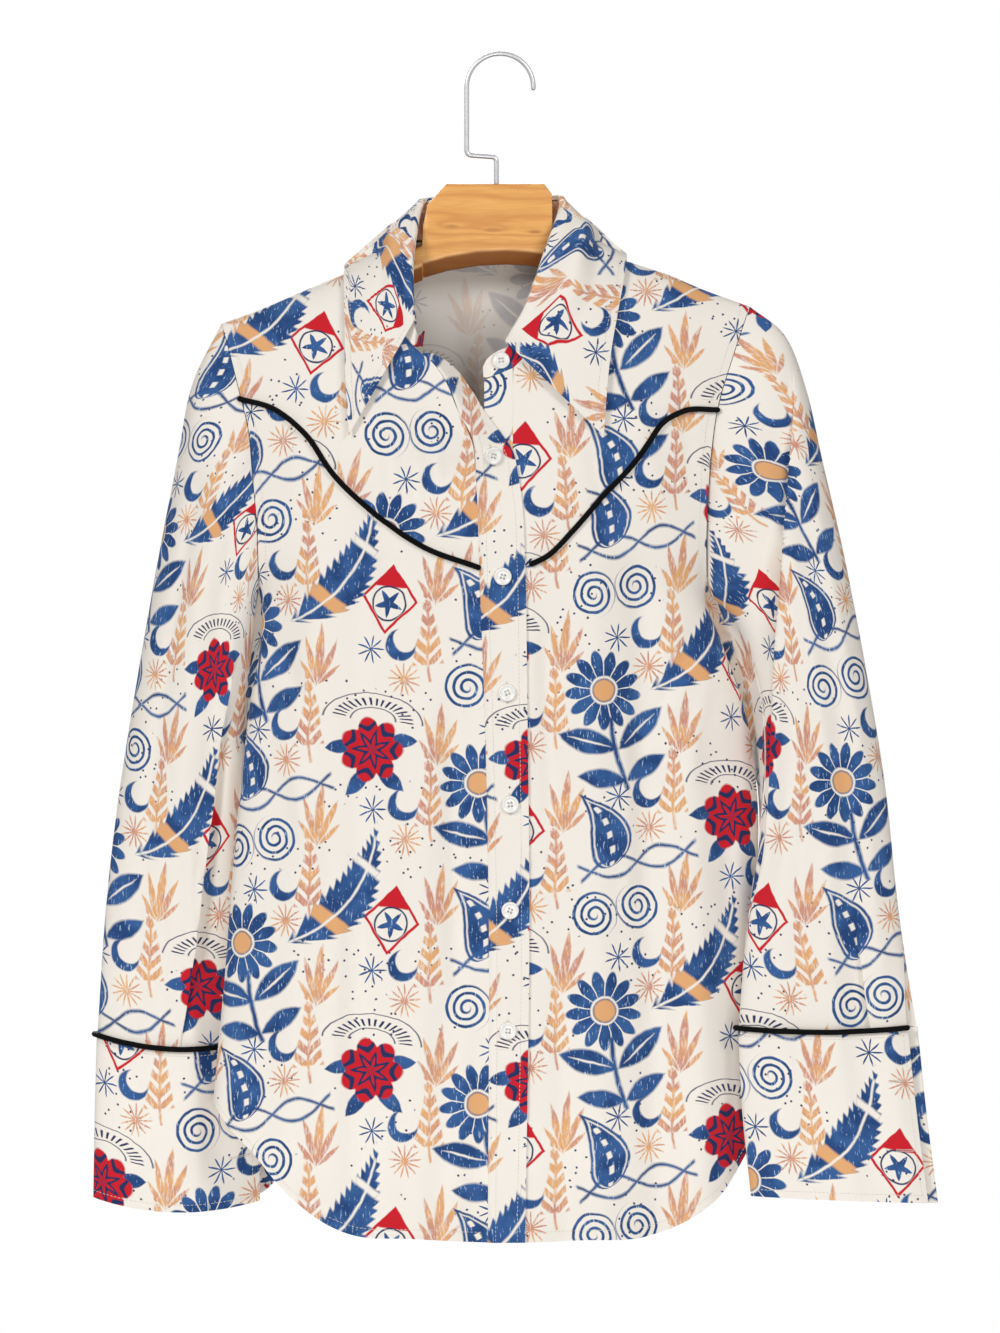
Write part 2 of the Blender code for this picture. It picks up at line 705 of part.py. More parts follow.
def armhole_ring(right, turn):
    """Point on the armhole where a sleeve's section begins."""
    armhole = ARMHOLE_RIGHT if right else ARMHOLE_LEFT
    low, high = armhole[0].height, armhole[-1].height
    out = np.cos(turn)
    z = mix(low, high, (1 - out) / 2 if right else (1 + out) / 2)
    x = np.where(np.sin(turn) >= 0, side_seam(z + 1e-6, right), back_seam(z + 1e-6, right))
    front, rear = body(x, z, FRONT), body(x, z, BACK)
    points = np.where((np.sin(turn) >= 0)[..., None], front, rear)
    points[..., 0] += -ARMHOLE_SEAM if right else ARMHOLE_SEAM
    return points


def plain_sleeve(right, share, turn):
    """Point of a sleeve, joined at its top to the armhole."""
    rows = SLEEVE_RIGHT if right else SLEEVE_LEFT
    fade = 1 - ease(share / CAP_FADE)
    start = armhole_ring(right, turn) - ring(rows, np.zeros_like(share), turn)
    return ring(rows, share, turn) + start * fade[..., None]


def sleeve(right, share, turn):
    """Point of a sleeve, its spare cloth under the arm drawn across to the body's side."""
    points = plain_sleeve(right, share, turn)
    inner_turn = np.full_like(turn, 0.0 if right else math.pi)
    rim = plain_sleeve(right, share, inner_turn)
    left_edge, right_edge, _, _ = read(LEVELS, rim[..., 2])
    gap = left_edge - rim[..., 0] if right else rim[..., 0] - right_edge
    past = 2 * math.pi - turn if right else turn - math.pi
    drawn = ease((past - SPARE_FROM) / SPARE_RISE) * ease((SPARE_TO - past) / SPARE_FALL)
    drawn = drawn * ease(gap / SPARE_NEAR) * ease(share / SPARE_CAP)
    left_edge, right_edge, _, _ = read(LEVELS, points[..., 2])
    beside = left_edge - SPARE_CLEAR if right else right_edge + SPARE_CLEAR
    points[..., 0] = mix(points[..., 0], beside, drawn)
    points[..., 1] += drawn * (SPARE_BACK_RIGHT if right else SPARE_BACK_LEFT)
    return points


def cuff_point(right, down, turn):
    """Point of a cuff, the end of its underlap drawn up."""
    points = ring(CUFF_RIGHT if right else CUFF_LEFT, down, turn)
    if right:
        points[..., 2] += UNDERLAP_RISE * down ** 2 * ease((turn - UNDERLAP_FROM) / UNDERLAP_FADE)
    return points


def turn_range(right, share, slit, columns):
    """Turns of one row of a sleeve, opened where it passes its slit."""
    free = FREE_EDGE_RIGHT if right else FREE_EDGE_LEFT
    opened = ease((share - (1 - slit)) / slit)
    start = opened * free
    end = 2 * math.pi + opened * SLEEVE_TURN_IN
    return np.linspace(start, end, columns)


def build_sleeve(home, right):
    """Sleeve from the armhole to the cuff, with the slit above the cuff."""
    columns, rings = 20, 14
    shares = np.linspace(0, 1, rings)
    slit_row = int(np.searchsorted(shares, 1 - SLIT_LENGTH))
    shares = np.concatenate([np.linspace(0, 1 - SLIT_LENGTH, slit_row + 1),
                             np.linspace(1 - SLIT_LENGTH, 1, 4)[1:]])
    rows = []
    for share in shares:
        turns = turn_range(right, share, SLIT_LENGTH, columns)
        rows.append(sleeve(right, np.full(columns, share), turns))
    name = "sleeve_right" if right else "sleeve_left"
    build_sheet(home, name, np.array(rows), CLOTH, joined_rows=slit_row + 1)


def cuff_turns(right, count):
    """Turns of a cuff from its free edge round to the end of its underlap."""
    free = FREE_EDGE_RIGHT if right else FREE_EDGE_LEFT
    main = np.linspace(free, 2 * math.pi, count - 4)
    return np.concatenate([main, np.linspace(2 * math.pi, 2 * math.pi + UNDERLAP, 5)[1:]])


def build_cuff(home, right):
    """Deep cuff, open at its slit, with its underlap turned in."""
    turns = cuff_turns(right, 25)
    down, turn = np.meshgrid(np.linspace(0, 1, 4), turns, indexing="ij")
    name = "cuff_right" if right else "cuff_left"
    build_sheet(home, name, cuff_point(right, down, turn), DOUBLED)
    for number, row in enumerate(CUFF_BUTTON_ROWS, start=1):
        turn_at = 2 * math.pi + CUFF_BUTTON_TURN
        here = cuff_point(right, np.array(row), np.array(turn_at))
        ahead = cuff_point(right, np.array(row), np.array(turn_at + 0.05)) - here
        below = cuff_point(right, np.array(row + 0.02), np.array(turn_at)) - here
        normal = np.cross(ahead, below)
        side = "right" if right else "left"
        build_button(home, f"button_cuff_{side}_{number}", here, normal)


# --- collar ---------------------------------------------------------------

def stand_point(share, rise):
    """Point of the stand: share along it, rise from foot to top."""
    foot_x, foot_z, lift, top_x, top_y, top_z = along(STAND, share)
    place = share * (len(STAND) - 1)
    behind = (place > SHOULDER_LEFT) & (place < SHOULDER_RIGHT)
    foot = np.where(behind[..., None], body(foot_x, foot_z, BACK), body(foot_x, foot_z, FRONT))
    foot[..., 1] -= lift
    top = np.stack([top_x, top_y, top_z], axis=-1)
    return mix(foot, top, rise[..., None])


def build_stand(home):
    """Collar stand round the neck, its ends over the buttoned strips."""
    share, rise = np.meshgrid(np.linspace(0, 1, 2 * len(STAND) - 1), np.linspace(0.02, 1, 3))
    build_sheet(home, "collar_stand", stand_point(share, rise), DOUBLED)


def stand_frame(share):
    """Top of the stand, its upward direction and its outward direction."""
    step = 0.002
    top = stand_point(share, np.ones_like(share))
    up = top - stand_point(share, np.zeros_like(share))
    run = (stand_point(share + step, np.ones_like(share))
           - stand_point(share - step, np.ones_like(share)))
    out = np.cross(run, up)
    up = up / np.linalg.norm(up, axis=-1, keepdims=True)
    out = out / np.linalg.norm(out, axis=-1, keepdims=True)
    return top, up, out


def fall_point(share, down):
    """Point of the fall: share along it, from the stand's top to its edge."""
    place = mix(FALL_FIRST, FALL_END, share)
    top, up, out = stand_frame(place / (len(STAND) - 1))
    edge_x, edge_z, bulge = along(FALL, share)
    turn = math.pi * (1 - np.clip(down / ROLL_SHARE, 0, 1))[..., None]
    centre = top + up * (ROLL_SEAM + ROLL_RISE) + out * (ROLL_RADIUS - DOUBLED)
    roll = centre + ROLL_RADIUS * (out * np.cos(turn) + up * np.sin(turn))
    roll -= up * ROLL_RISE * np.where(down == 0, 1.0, 0.0)[..., None]
    reach = np.clip((down - ROLL_SHARE) / (1 - ROLL_SHARE), 0, 1)
    x = mix(roll[..., 0], edge_x, reach)
    z = mix(roll[..., 2], edge_z, reach)
    right_side = place > (SHOULDER_LEFT + SHOULDER_RIGHT) / 2
    behind = (place > SHOULDER_LEFT) & (place < SHOULDER_RIGHT)
    front = np.where(right_side, right_front(x, z, FALL_CLEAR)[..., 1],
                     left_front(x, z, FALL_CLEAR)[..., 1])
    rear = back_face(x, z, FALL_CLEAR)[..., 1]
    on_body = np.where(behind, rear, front)
    foot = stand_point(place / (len(STAND) - 1), np.zeros_like(share))
    over_foot = foot[..., 1] + np.where(behind, FALL_CLEAR, -FALL_CLEAR)
    high = np.hypot(top[..., 0] - foot[..., 0], top[..., 2] - foot[..., 2])
    deep = np.hypot(top[..., 0] - edge_x, top[..., 2] - edge_z)
    passed = reach * deep / high
    y = mix(roll[..., 1], over_foot, ease(passed))
    y = mix(y, on_body, ease((passed - 1) / FALL_SETTLE))
    y = y + np.where(behind, 1.0, -1.0) * bulge * np.sin(math.pi * reach)
    return np.stack([x, y, z], axis=-1)


def build_fall(home):
    """Collar fall folded over the stand, with long points."""
    down = np.array([0, 0.001, 0.07, 0.14, 0.2, 0.4, 0.7, 1.0])
    share, down = np.meshgrid(np.linspace(0, 1, 2 * len(FALL) - 1), down)
    build_sheet(home, "collar_fall", fall_point(share, down), DOUBLED, flip=True)


# --- trims, hanger and hook -----------------------------------------------

def build_yoke_piping(home, right):
    """Round piping laid along a yoke's seam."""
    table = YOKE_RIGHT if right else YOKE_LEFT
    form = right_front if right else left_front
    ends = (table[0].across + 1.5, table[-1].across - 1.0) if right \
        else (22.0, table[-1].across - 1.5)
    x = np.linspace(ends[0], ends[1], PIPING_POINTS)
    points, _ = moved_out(form, x, yoke_edge(table, x), PIPING_RADIUS + LAID_ON)
    name = "piping_yoke_right" if right else "piping_yoke_left"
    build_wire(home, name, points, PIPING_RADIUS, "piping_black", 1)


def build_cuff_piping(home, right):
    """Round piping laid along the seam between sleeve and cuff."""
    rows = CUFF_RIGHT if right else CUFF_LEFT
    free = FREE_EDGE_RIGHT if right else FREE_EDGE_LEFT
    end = 2 * math.pi - (PIPING_END_RIGHT if right else PIPING_END_LEFT)
    turn = np.linspace(free + 0.05, end, 30)
    here = ring(rows, np.zeros_like(turn), turn)
    ahead = ring(rows, np.zeros_like(turn), turn + 0.02) - here
    normal = np.cross(ahead, np.array([0.0, 0.0, -1.0]))
    normal = normal / np.linalg.norm(normal, axis=-1, keepdims=True)
    points = here + normal * (PIPING_RADIUS + LAID_ON)
    points[..., 2] += SEAM
    name = "piping_cuff_right" if right else "piping_cuff_left"
    build_wire(home, name, points, PIPING_RADIUS, "piping_black", 1)


def build_front_buttons(home):
    """Buttons down the upper strip and one on the collar stand."""
    for number, (x, z) in enumerate(FRONT_BUTTONS, start=1):
        seam, _, edge, _ = read(STRIP_RIGHT, np.array(float(z)))
        share = (x - seam) / (edge - seam)
        here = strip_point(np.array(float(z)), share)
        beside = strip_point(np.array(float(z)), share + 0.1) - here
        above = strip_point(np.array(float(z) + 2), share) - here
        build_button(home, f"button_front_{number}", here, np.cross(beside, above))
    here = stand_point(np.array(NECK_BUTTON), np.array(0.5))
    beside = stand_point(np.array(NECK_BUTTON + 0.01), np.array(0.5)) - here
    above = stand_point(np.array(NECK_BUTTON), np.array(0.6)) - here
    build_button(home, "button_neck", here, np.cross(beside, above))


def build_hanger(home):
    """Flat wooden hanger: one section, lofted along its rail."""
    mesh = bmesh.new()
    loops = []
    for rail in HANGER:
        half = rail.half
        soft = min(HANGER_ROUND, half / 2)
        chamfer = min(HANGER_CHAMFER_HIGH, (rail.top - rail.low) / 2)
        outline = [
            (-half + soft, rail.top),
            (-half, rail.top - soft),
            (-half, rail.low + chamfer),
            (0.0, rail.low),
            (half - soft, rail.low),
            (half, rail.low + soft),
            (half, rail.top - soft),
            (half - soft, rail.top),
        ]
        loops.append([mesh.verts.new(Vector((rail.across, y, z)) * MM) for y, z in outline])
    for one, other in zip(loops, loops[1:]):
        for j in range(len(one)):
            k = (j + 1) % len(one)
            mesh.faces.new([one[j], one[k], other[k], other[j]])
    mesh.faces.new(loops[0][::-1])
    mesh.faces.new(loops[-1])
    bmesh.ops.recalc_face_normals(mesh, faces=mesh.faces)
    data = bpy.data.meshes.new("hanger")
    mesh.to_mesh(data)
    mesh.free()
    add_object(home, "hanger", data, "hanger_wood")


def corner(before, at, after):
    """Three points that round one corner of a bent wire."""
    before, at, after = Vector(before), Vector(at), Vector(after)
    enter = at + (before - at).normalized() * HOOK_CORNER
    leave = at + (after - at).normalized() * HOOK_CORNER
    return [enter, (enter + 2 * at + leave) / 4, leave]


def build_hook(home):
    """Bent wire hook: round top, straight shank, jog and foot."""
    middle_z = WIRE - HOOK_RADIUS
    turns = np.radians(np.linspace(HOOK_TIP_TURN, 180, 20))
    points = [Vector((HOOK_RADIUS * math.cos(turn), 0, middle_z + HOOK_RADIUS * math.sin(turn)))
              for turn in turns]
    bend = (-HOOK_RADIUS, 0, HOOK_JOG)
    jog = (HOOK_FOOT_X, 0, HOOK_JOG - 1.5)
    foot = (HOOK_FOOT_X, 0, HOOK_FOOT_Z)
    points += corner(points[-1], bend, jog) + corner(bend, jog, foot) + [Vector(foot)]
    build_wire(home, "hook", points, WIRE, "hook_steel", 2)


def main():
    """Build every piece of the shirt and its hanger."""
    home = clear_scene()
    for right in (True, False):
        build_yoke(home, right)
        build_front(home, right)
        build_sleeve(home, right)
        build_cuff(home, right)
        build_yoke_piping(home, right)
        build_cuff_piping(home, right)
    build_back(home)
    build_strips(home)
    build_stand(home)
    build_fall(home)
    build_front_buttons(home)
    build_hanger(home)
    build_hook(home)


if __name__ == "__main__":
    main()
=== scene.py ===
"""Looks of the long-sleeved western shirt on its flat wooden hanger."""
import logging
import math
from dataclasses import dataclass, field
from enum import Enum
from typing import Callable, NamedTuple, Sequence

import bmesh
import bpy
import numpy as np
from mathutils import Matrix, Vector


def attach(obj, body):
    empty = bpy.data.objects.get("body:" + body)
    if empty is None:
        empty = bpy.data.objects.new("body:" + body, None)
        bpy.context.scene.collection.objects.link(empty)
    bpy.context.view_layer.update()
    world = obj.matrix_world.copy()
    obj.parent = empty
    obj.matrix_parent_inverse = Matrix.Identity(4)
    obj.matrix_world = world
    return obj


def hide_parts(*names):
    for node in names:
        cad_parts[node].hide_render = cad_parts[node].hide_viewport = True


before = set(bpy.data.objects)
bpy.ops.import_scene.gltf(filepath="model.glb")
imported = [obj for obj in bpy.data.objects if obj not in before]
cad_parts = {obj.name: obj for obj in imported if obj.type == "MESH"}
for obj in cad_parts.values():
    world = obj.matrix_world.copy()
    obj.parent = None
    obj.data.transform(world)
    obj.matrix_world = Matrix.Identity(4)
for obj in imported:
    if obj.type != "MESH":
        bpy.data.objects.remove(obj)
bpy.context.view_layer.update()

LOG = logging.getLogger("shirt")
MM = 0.001
TURN_ALL = 2 * math.pi
FRONT, BACK = -1, 1

Array = np.ndarray
Rows = Sequence[Sequence[float]]
Line = Callable[[Array], Array]
Colour = tuple[float, float, float]
Mesh, Material, Object = bpy.types.Mesh, bpy.types.Material, bpy.types.Object


# --- reading tables -------------------------------------------------------

CROWDED = 0.6
WAVES, WAVE_LEAN, WAVE_SLOW, WAVE_BEND = 3, 0.22, (2.5, 5.0), 1.3


def read(table: Rows, at: Array) -> Array:
    """Read a table's columns smoothly at places on its first column.

    Args:
        table: rows whose first column rises.
        at: places on the first column.

    Returns:
        One array for each further column.
    """
    rows = np.asarray(table, float)
    keys, values = rows[:, 0], rows[:, 1:]
    slopes = np.gradient(values, keys, axis=0)
    at = np.clip(np.asarray(at, float), keys[0], keys[-1])
    cell = np.clip(np.searchsorted(keys, at) - 1, 0, len(keys) - 2)
    width = (keys[cell + 1] - keys[cell])[..., None]
    t = (at[..., None] - keys[cell][..., None]) / width
    start, end = values[cell], values[cell + 1]
    leave, arrive = slopes[cell] * width, slopes[cell + 1] * width
    smooth = (start * (1 + 2 * t) * (1 - t) ** 2 + end * t * t * (3 - 2 * t)
              + leave * t * (1 - t) ** 2 + arrive * t * t * (t - 1))
    return np.moveaxis(smooth, -1, 0)


def along(rows: Rows, share: Array) -> Array:
    """Read a table's columns by the share of its rows passed, 0 to 1."""
    keyed = [(number,) + tuple(row) for number, row in enumerate(rows)]
    return read(keyed, np.asarray(share, float) * (len(rows) - 1))


def ease(value: Array) -> Array:
    """Smooth step from 0 to 1."""
    value = np.clip(value, 0.0, 1.0)
    return value * value * (3 - 2 * value)


def mix(start: Array, end: Array, share: Array) -> Array:
    """Value between two, by share."""
    return start + (end - start) * share


def unit(vectors: Array) -> Array:
    """Vectors scaled to a length of 1."""
    return vectors / np.maximum(np.linalg.norm(vectors, axis=-1, keepdims=True), 1e-9)


def rounded_shares(count: int) -> Array:
    """Shares from 0 to 1 that crowd a little towards both ends."""
    plain = np.linspace(0, 1, count)
    return mix(plain, (1 - np.cos(math.pi * plain)) / 2, CROWDED)


def places(x: Array, z: Array) -> Array:
    """Pairs across and up from two arrays."""
    return np.stack(np.broadcast_arrays(x, z), axis=-1)


def chain(points: Array, share: Array) -> Array:
    """Find places on a smooth line through points.

    Args:
        points: the points, in order.
        share: shares of the line's length.

    Returns:
        One place for each share.
    """
    points = np.asarray(points, float)
    steps = np.linalg.norm(np.diff(points, axis=0), axis=1)
    marks = np.concatenate([[0], np.cumsum(steps)]) / steps.sum()
    return np.stack(read(np.column_stack([marks, points]), share), axis=-1)


def patch(edges: tuple[Line, Line, Line, Line], across: Array, down: Array) -> Array:
    """Fill a grid of places between four edges.

    Args:
        edges: top, low, outer and inner edge, each a function of a share.
        across: shares of the columns.
        down: shares of the rows.

    Returns:
        Rows by columns of places.
    """
    top, low, outer, inner = edges
    u, v = across[None, :, None], down[:, None, None]
    t, b = top(across)[None], low(across)[None]
    o, i = outer(down)[:, None], inner(down)[:, None]
    corners = ((1 - u) * (1 - v) * t[:, :1] + u * (1 - v) * t[:, -1:]
               + (1 - u) * v * b[:, :1] + u * v * b[:, -1:])
    return (1 - v) * t + v * b + (1 - u) * o + u * i - corners


def ruffle(u: Array, v: Array, seed: int, lengths: Sequence[float]) -> Array:
    """Small uneven waves over a cloth, mostly across it.

    Args:
        u: distance across the cloth, in millimetres.
        v: distance up the cloth, in millimetres.
        seed: fixed seed of the waves' directions and places.
        lengths: wave lengths across, in millimetres.

    Returns:
        The height of the waves at each place, between -1 and 1.
    """
    chance = np.random.default_rng(seed)
    total = np.zeros(np.broadcast(u, v).shape)
    for length in lengths:
        for _ in range(WAVES):
            lean, phase = chance.uniform(-WAVE_LEAN, WAVE_LEAN), chance.uniform(0, 6.3, 2)
            slow = np.sin(TURN_ALL * v / (length * chance.uniform(*WAVE_SLOW)) + phase[1])
            wave = np.sin(TURN_ALL * (u + lean * v) / length + phase[0] + WAVE_BEND * slow)
            total = total + wave / (WAVES * len(lengths))
    return total


# --- shader maths ---------------------------------------------------------

def linear(value: int) -> float:
    """Linear share of light from a value of 0 to 255."""
    share = value / 255
    return share / 12.92 if share <= 0.04045 else ((share + 0.055) / 1.055) ** 2.4


def ink(red: int, green: int, blue: int) -> Colour:
    """Linear colour from the usual 0 to 255 values."""
    return linear(red), linear(green), linear(blue)


class Graph:
    """Node tree, with short ways to add nodes."""

    def __init__(self, tree: bpy.types.NodeTree) -> None:
        """Work in a tree."""
        self.tree = tree

    def add(self, kind: str, settings: dict | None = None, inputs: dict | None = None,
            output: int | str = 0) -> "Value":
        """Add a node.

        Args:
            kind: the node's type.
            settings: properties, set before anything else.
            inputs: values or links by socket name or number.
            output: the socket that is handed back.

        Returns:
            The output, wrapped, or an empty wrap where the node has none.
        """
        node = self.tree.nodes.new(kind)
        for key, value in (settings or {}).items():
            setattr(node, key, value)
        for key, value in (inputs or {}).items():
            self.plug(node.inputs[key], value)
        return Value(self, node.outputs[output] if node.outputs else None)

    def plug(self, socket: bpy.types.NodeSocket, value: "Value | float | Sequence") -> None:
        """Set a socket to a value, or link it.

        Args:
            socket: the input.
            value: a number, a vector, a colour, or an output to link.
        """
        if isinstance(value, Value):
            self.tree.links.new(value.socket, socket)
        elif isinstance(value, (tuple, list)) and socket.type == "RGBA":
            socket.default_value = (*value[:3], 1.0)
        else:
            socket.default_value = value

    def math(self, operation: str, *values: "Value | float", clamp: bool = False) -> "Value":
        """Add a Math node."""
        return self.add("ShaderNodeMath", {"operation": operation, "use_clamp": clamp},
                        dict(enumerate(values)))

    def vector(self, operation: str, *values: "Value | Sequence", output: int = 0,
               **named: "Value | float") -> "Value":
        """Add a Vector Math node."""
        return self.add("ShaderNodeVectorMath", {"operation": operation},
                        {**dict(enumerate(values)), **named}, output)

    def dot(self, one: "Value", other: "Value | Sequence") -> "Value":
        """Dot product of two vectors."""
        return self.vector("DOT_PRODUCT", one, other, output=1)

    def blend(self, share: "Value | float", one: "Value | Colour",
              other: "Value | Colour") -> "Value":
        """Mix two colours by a share."""
        return self.add("ShaderNodeMix", {"data_type": "RGBA"}, {0: share, 6: one, 7: other}, 2)

    def over(self, value: "Value", edge: float, soft: float) -> "Value":
        """Mask that is 1 where a value is above an edge."""
        return self.add("ShaderNodeMapRange", {}, {"Value": value, "From Min": edge - soft,
                                                   "From Max": edge + soft})

    def noise(self, place: "Value", scale: float, detail: float = 2.0, rough: float = 0.5,
              dimensions: str = "2D", output: int = 0) -> "Value":
        """Add a Noise texture."""
        return self.add("ShaderNodeTexNoise", {"noise_dimensions": dimensions},
                        {"Vector": place, "Scale": scale, "Detail": detail,
                         "Roughness": rough}, output)


class Finish(Graph):
    """Node tree of one material with its Principled shader."""

    def __init__(self, name: str) -> None:
        """Start a material.

        Args:
            name: the material's name.
        """
        self.material = bpy.data.materials.new(name)
        self.material.use_nodes = True
        super().__init__(self.material.node_tree)
        self.shader = self.tree.nodes["Principled BSDF"]

    def place(self) -> "Value":
        """Place on the object."""
        return self.add("ShaderNodeTexCoord", output="Object")

    def cloth(self) -> "Value":
        """Place on the piece's own map."""
        return self.add("ShaderNodeUVMap", {"uv_map": "cloth"})

    def bump(self, height: "Value", strength: float, distance: float) -> "Value":
        """Normal from a height."""
        return self.add("ShaderNodeBump", {}, {"Strength": strength, "Distance": distance,
                                               "Height": height})

    def finish(self, **inputs: "Value | float | Colour") -> Material:
        """Fill the shader's sockets.

        Args:
            inputs: values by socket name, with underscores for spaces.

        Returns:
            The material.
        """
        for key, value in inputs.items():
            self.plug(self.shader.inputs[key.replace("_", " ")], value)
        return self.material


class Value:
    """Output of a node, with arithmetic that adds Math nodes."""

    def __init__(self, graph: Graph, socket: bpy.types.NodeSocket | None) -> None:
        """Wrap a socket of a graph."""
        self.graph, self.socket = graph, socket

    def __add__(self, other: "Value | float") -> "Value":
        """Sum."""
        return self.graph.math("ADD", self, other)

    def __sub__(self, other: "Value | float") -> "Value":
        """Difference."""
        return self.graph.math("SUBTRACT", self, other)

    def __rsub__(self, other: float) -> "Value":
        """Difference from a number."""
        return self.graph.math("SUBTRACT", other, self)

    def __mul__(self, other: "Value | float") -> "Value":
        """Product; of two masks, where both are."""
        return self.graph.math("MULTIPLY", self, other)

    def __abs__(self) -> "Value":
        """Size without its sign."""
        return self.graph.math("ABSOLUTE", self)

    def __or__(self, other: "Value") -> "Value":
        """Mask where either is."""
        return self.graph.math("MAXIMUM", self, other)

    __radd__, __rmul__, __and__ = __add__, __mul__, __mul__

    def scaled(self, factor: "Value | float", more: "Value | float" = 0.0) -> "Value":
        """The value times a factor, plus more."""
        return self.graph.math("MULTIPLY_ADD", self, factor, more)

    def sine(self) -> "Value":
        """Sine."""
        return self.graph.math("SINE", self)

    def above(self, edge: float, soft: float = 0.02) -> "Value":
        """Mask where the value is above an edge."""
        return self.graph.over(self, edge, soft)

    def below(self, edge: float, soft: float = 0.02) -> "Value":
        """Mask where the value is below an edge."""
        return self.graph.over(self, edge, -soft)

    def near(self, middle: "Value | float", reach: float, soft: float = 0.02) -> "Value":
        """Mask within a reach of a middle."""
        return abs(self - middle).below(reach, soft)


# --- the cloth's print ----------------------------------------------------

class Spot(NamedTuple):
    """A motif's own coordinates: a vector and its two parts."""

    point: Value
    x: Value
    y: Value


@dataclass(frozen=True)
class PrintSpace:
    """Repeat of the print, in metres: columns, each dropped by half a repeat."""

    wide: float = 0.172
    high: float = 0.224
    wobble: float = 0.0022
    wobble_scale: float = 60.0


class Motifs:
    """Motifs of the print, drawn with shader maths."""

    def __init__(self, graph: Finish, space: PrintSpace) -> None:
        """Lay out the repeat over a cloth's own coordinates.

        Args:
            graph: the material's nodes.
            space: the repeat.
        """
        self.graph, self.space = graph, space
        self.cloth = graph.cloth()
        shake = graph.noise(self.cloth, space.wobble_scale, 2.0, 0.6, output=1)
        shake = graph.vector("SUBTRACT", shake, (0.5, 0.5, 0.5))
        self.drawn = graph.vector("MULTIPLY_ADD", shake, (space.wobble,) * 3, self.cloth)
        self.repeat = self.spot_of(
            graph.dot(self.drawn, (1 / space.wide, 0, 0)),
            graph.dot(self.drawn, (-0.5 / space.wide, 1 / space.high, 0))).point
        self.half_repeat = graph.vector("SCALE", self.repeat, Scale=2.0)

    def spot_of(self, x: Value, y: Value) -> Spot:
        """A motif's coordinates from their two parts."""
        return Spot(self.graph.add("ShaderNodeCombineXYZ", {}, {0: x, 1: y}), x, y)

    def spot(self, across: float, up: float, size: float, turn: float = 0.0,
             small: bool = False) -> Spot:
        """Coordinates of one motif.

        Args:
            across: place in the repeat, in columns.
            up: place in the repeat, in repeats.
            size: half the motif's size, in metres.
            turn: turn, in degrees.
            small: set on the half-sized repeat.

        Returns:
            The motif's vector and its two parts, about 1 at its ends.
        """
        share = 0.5 if small else 1.0
        wide, high = self.space.wide * share, self.space.high * share
        c, s = math.cos(math.radians(turn)), math.sin(math.radians(turn))
        away = self.graph.vector("SUBTRACT", self.half_repeat if small else self.repeat,
                                 (across, up, 0))
        near = self.graph.vector("WRAP", away, (0.5, 0.5, 0.5), (-0.5, -0.5, -0.5))
        return self.spot_of(
            self.graph.dot(near, ((wide * c + high / 2 * s) / size, high * s / size, 0)),
            self.graph.dot(near, ((-wide * s + high / 2 * c) / size, high * c / size, 0)))

    def mirrored(self, spot: Spot) -> Spot:
        """The same motif's coordinates with both its sides alike."""
        return self.spot_of(abs(spot.x), spot.y)

    def moved(self, spot: Spot, x: float, y: float, size: float = 1.0) -> Spot:
        """A motif's coordinates about another centre."""
        return self.spot_of((spot.x - x) * (1 / size), (spot.y - y) * (1 / size))

    def leaf(self, spot: Spot, start: tuple[float, float], end: tuple[float, float],
             width: float, soft: float = 0.02) -> Value:
        """Draw a pointed leaf.

        Args:
            spot: the motif's coordinates.
            start: where the leaf begins.
            end: where it ends.
            width: half its width.
            soft: softness of its edge.

        Returns:
            The leaf's mask.
        """
        graph = self.graph
        axis = (end[0] - start[0], end[1] - start[1], 0)
        long = axis[0] ** 2 + axis[1] ** 2
        away = graph.vector("SUBTRACT", spot.point, (*start, 0))
        share = graph.dot(away, tuple(part / long for part in axis))
        share = graph.math("MULTIPLY", share, 1.0, clamp=True)
        foot = graph.vector("SCALE", axis, Scale=share)
        reach = graph.vector("DISTANCE", away, foot, output=1)
        return ((share * (1 - share)).scaled(4 * width) - reach).above(0, soft)

    def length(self, spot: Spot) -> Value:
        """Distance from a motif's centre."""
        return self.graph.vector("LENGTH", spot.point, output=1)

    def polar(self, spot: Spot, lobes: float, turn: float = 0.0) -> tuple[Value, Value]:
        """Distance from a motif's centre, and a wave of petals round it."""
        angle = self.graph.math("ARCTAN2", spot.x, spot.y).scaled(lobes / 2, turn)
        return self.length(spot), abs(self.graph.math("COSINE", angle))

    def stem(self, spot: Spot, bend: float, low: float, high: float, thick: float) -> Value:
        """Bent line up a motif."""
        line = abs((spot.y * 3.0).sine().scaled(-bend, spot.x)).below(thick)
        return line & spot.y.above(low) & spot.y.below(high)


Layers = list[tuple[Value, "Value | Colour"]]


@dataclass(frozen=True)
class Inks:
    """Colours of the print."""

    ground: Colour = ink(244, 237, 227)
    blue: Colour = ink(34, 68, 120)
    light_blue: Colour = ink(54, 94, 150)
    pale_blue: Colour = ink(160, 182, 212)
    navy: Colour = ink(34, 46, 88)
    red: Colour = ink(204, 28, 42)
    tan: Colour = ink(229, 172, 118)
    peach: Colour = ink(208, 148, 126)


class Side(Enum):
    """Faces of the printed cloth."""

    FACE = "face"
    BACK = "back"


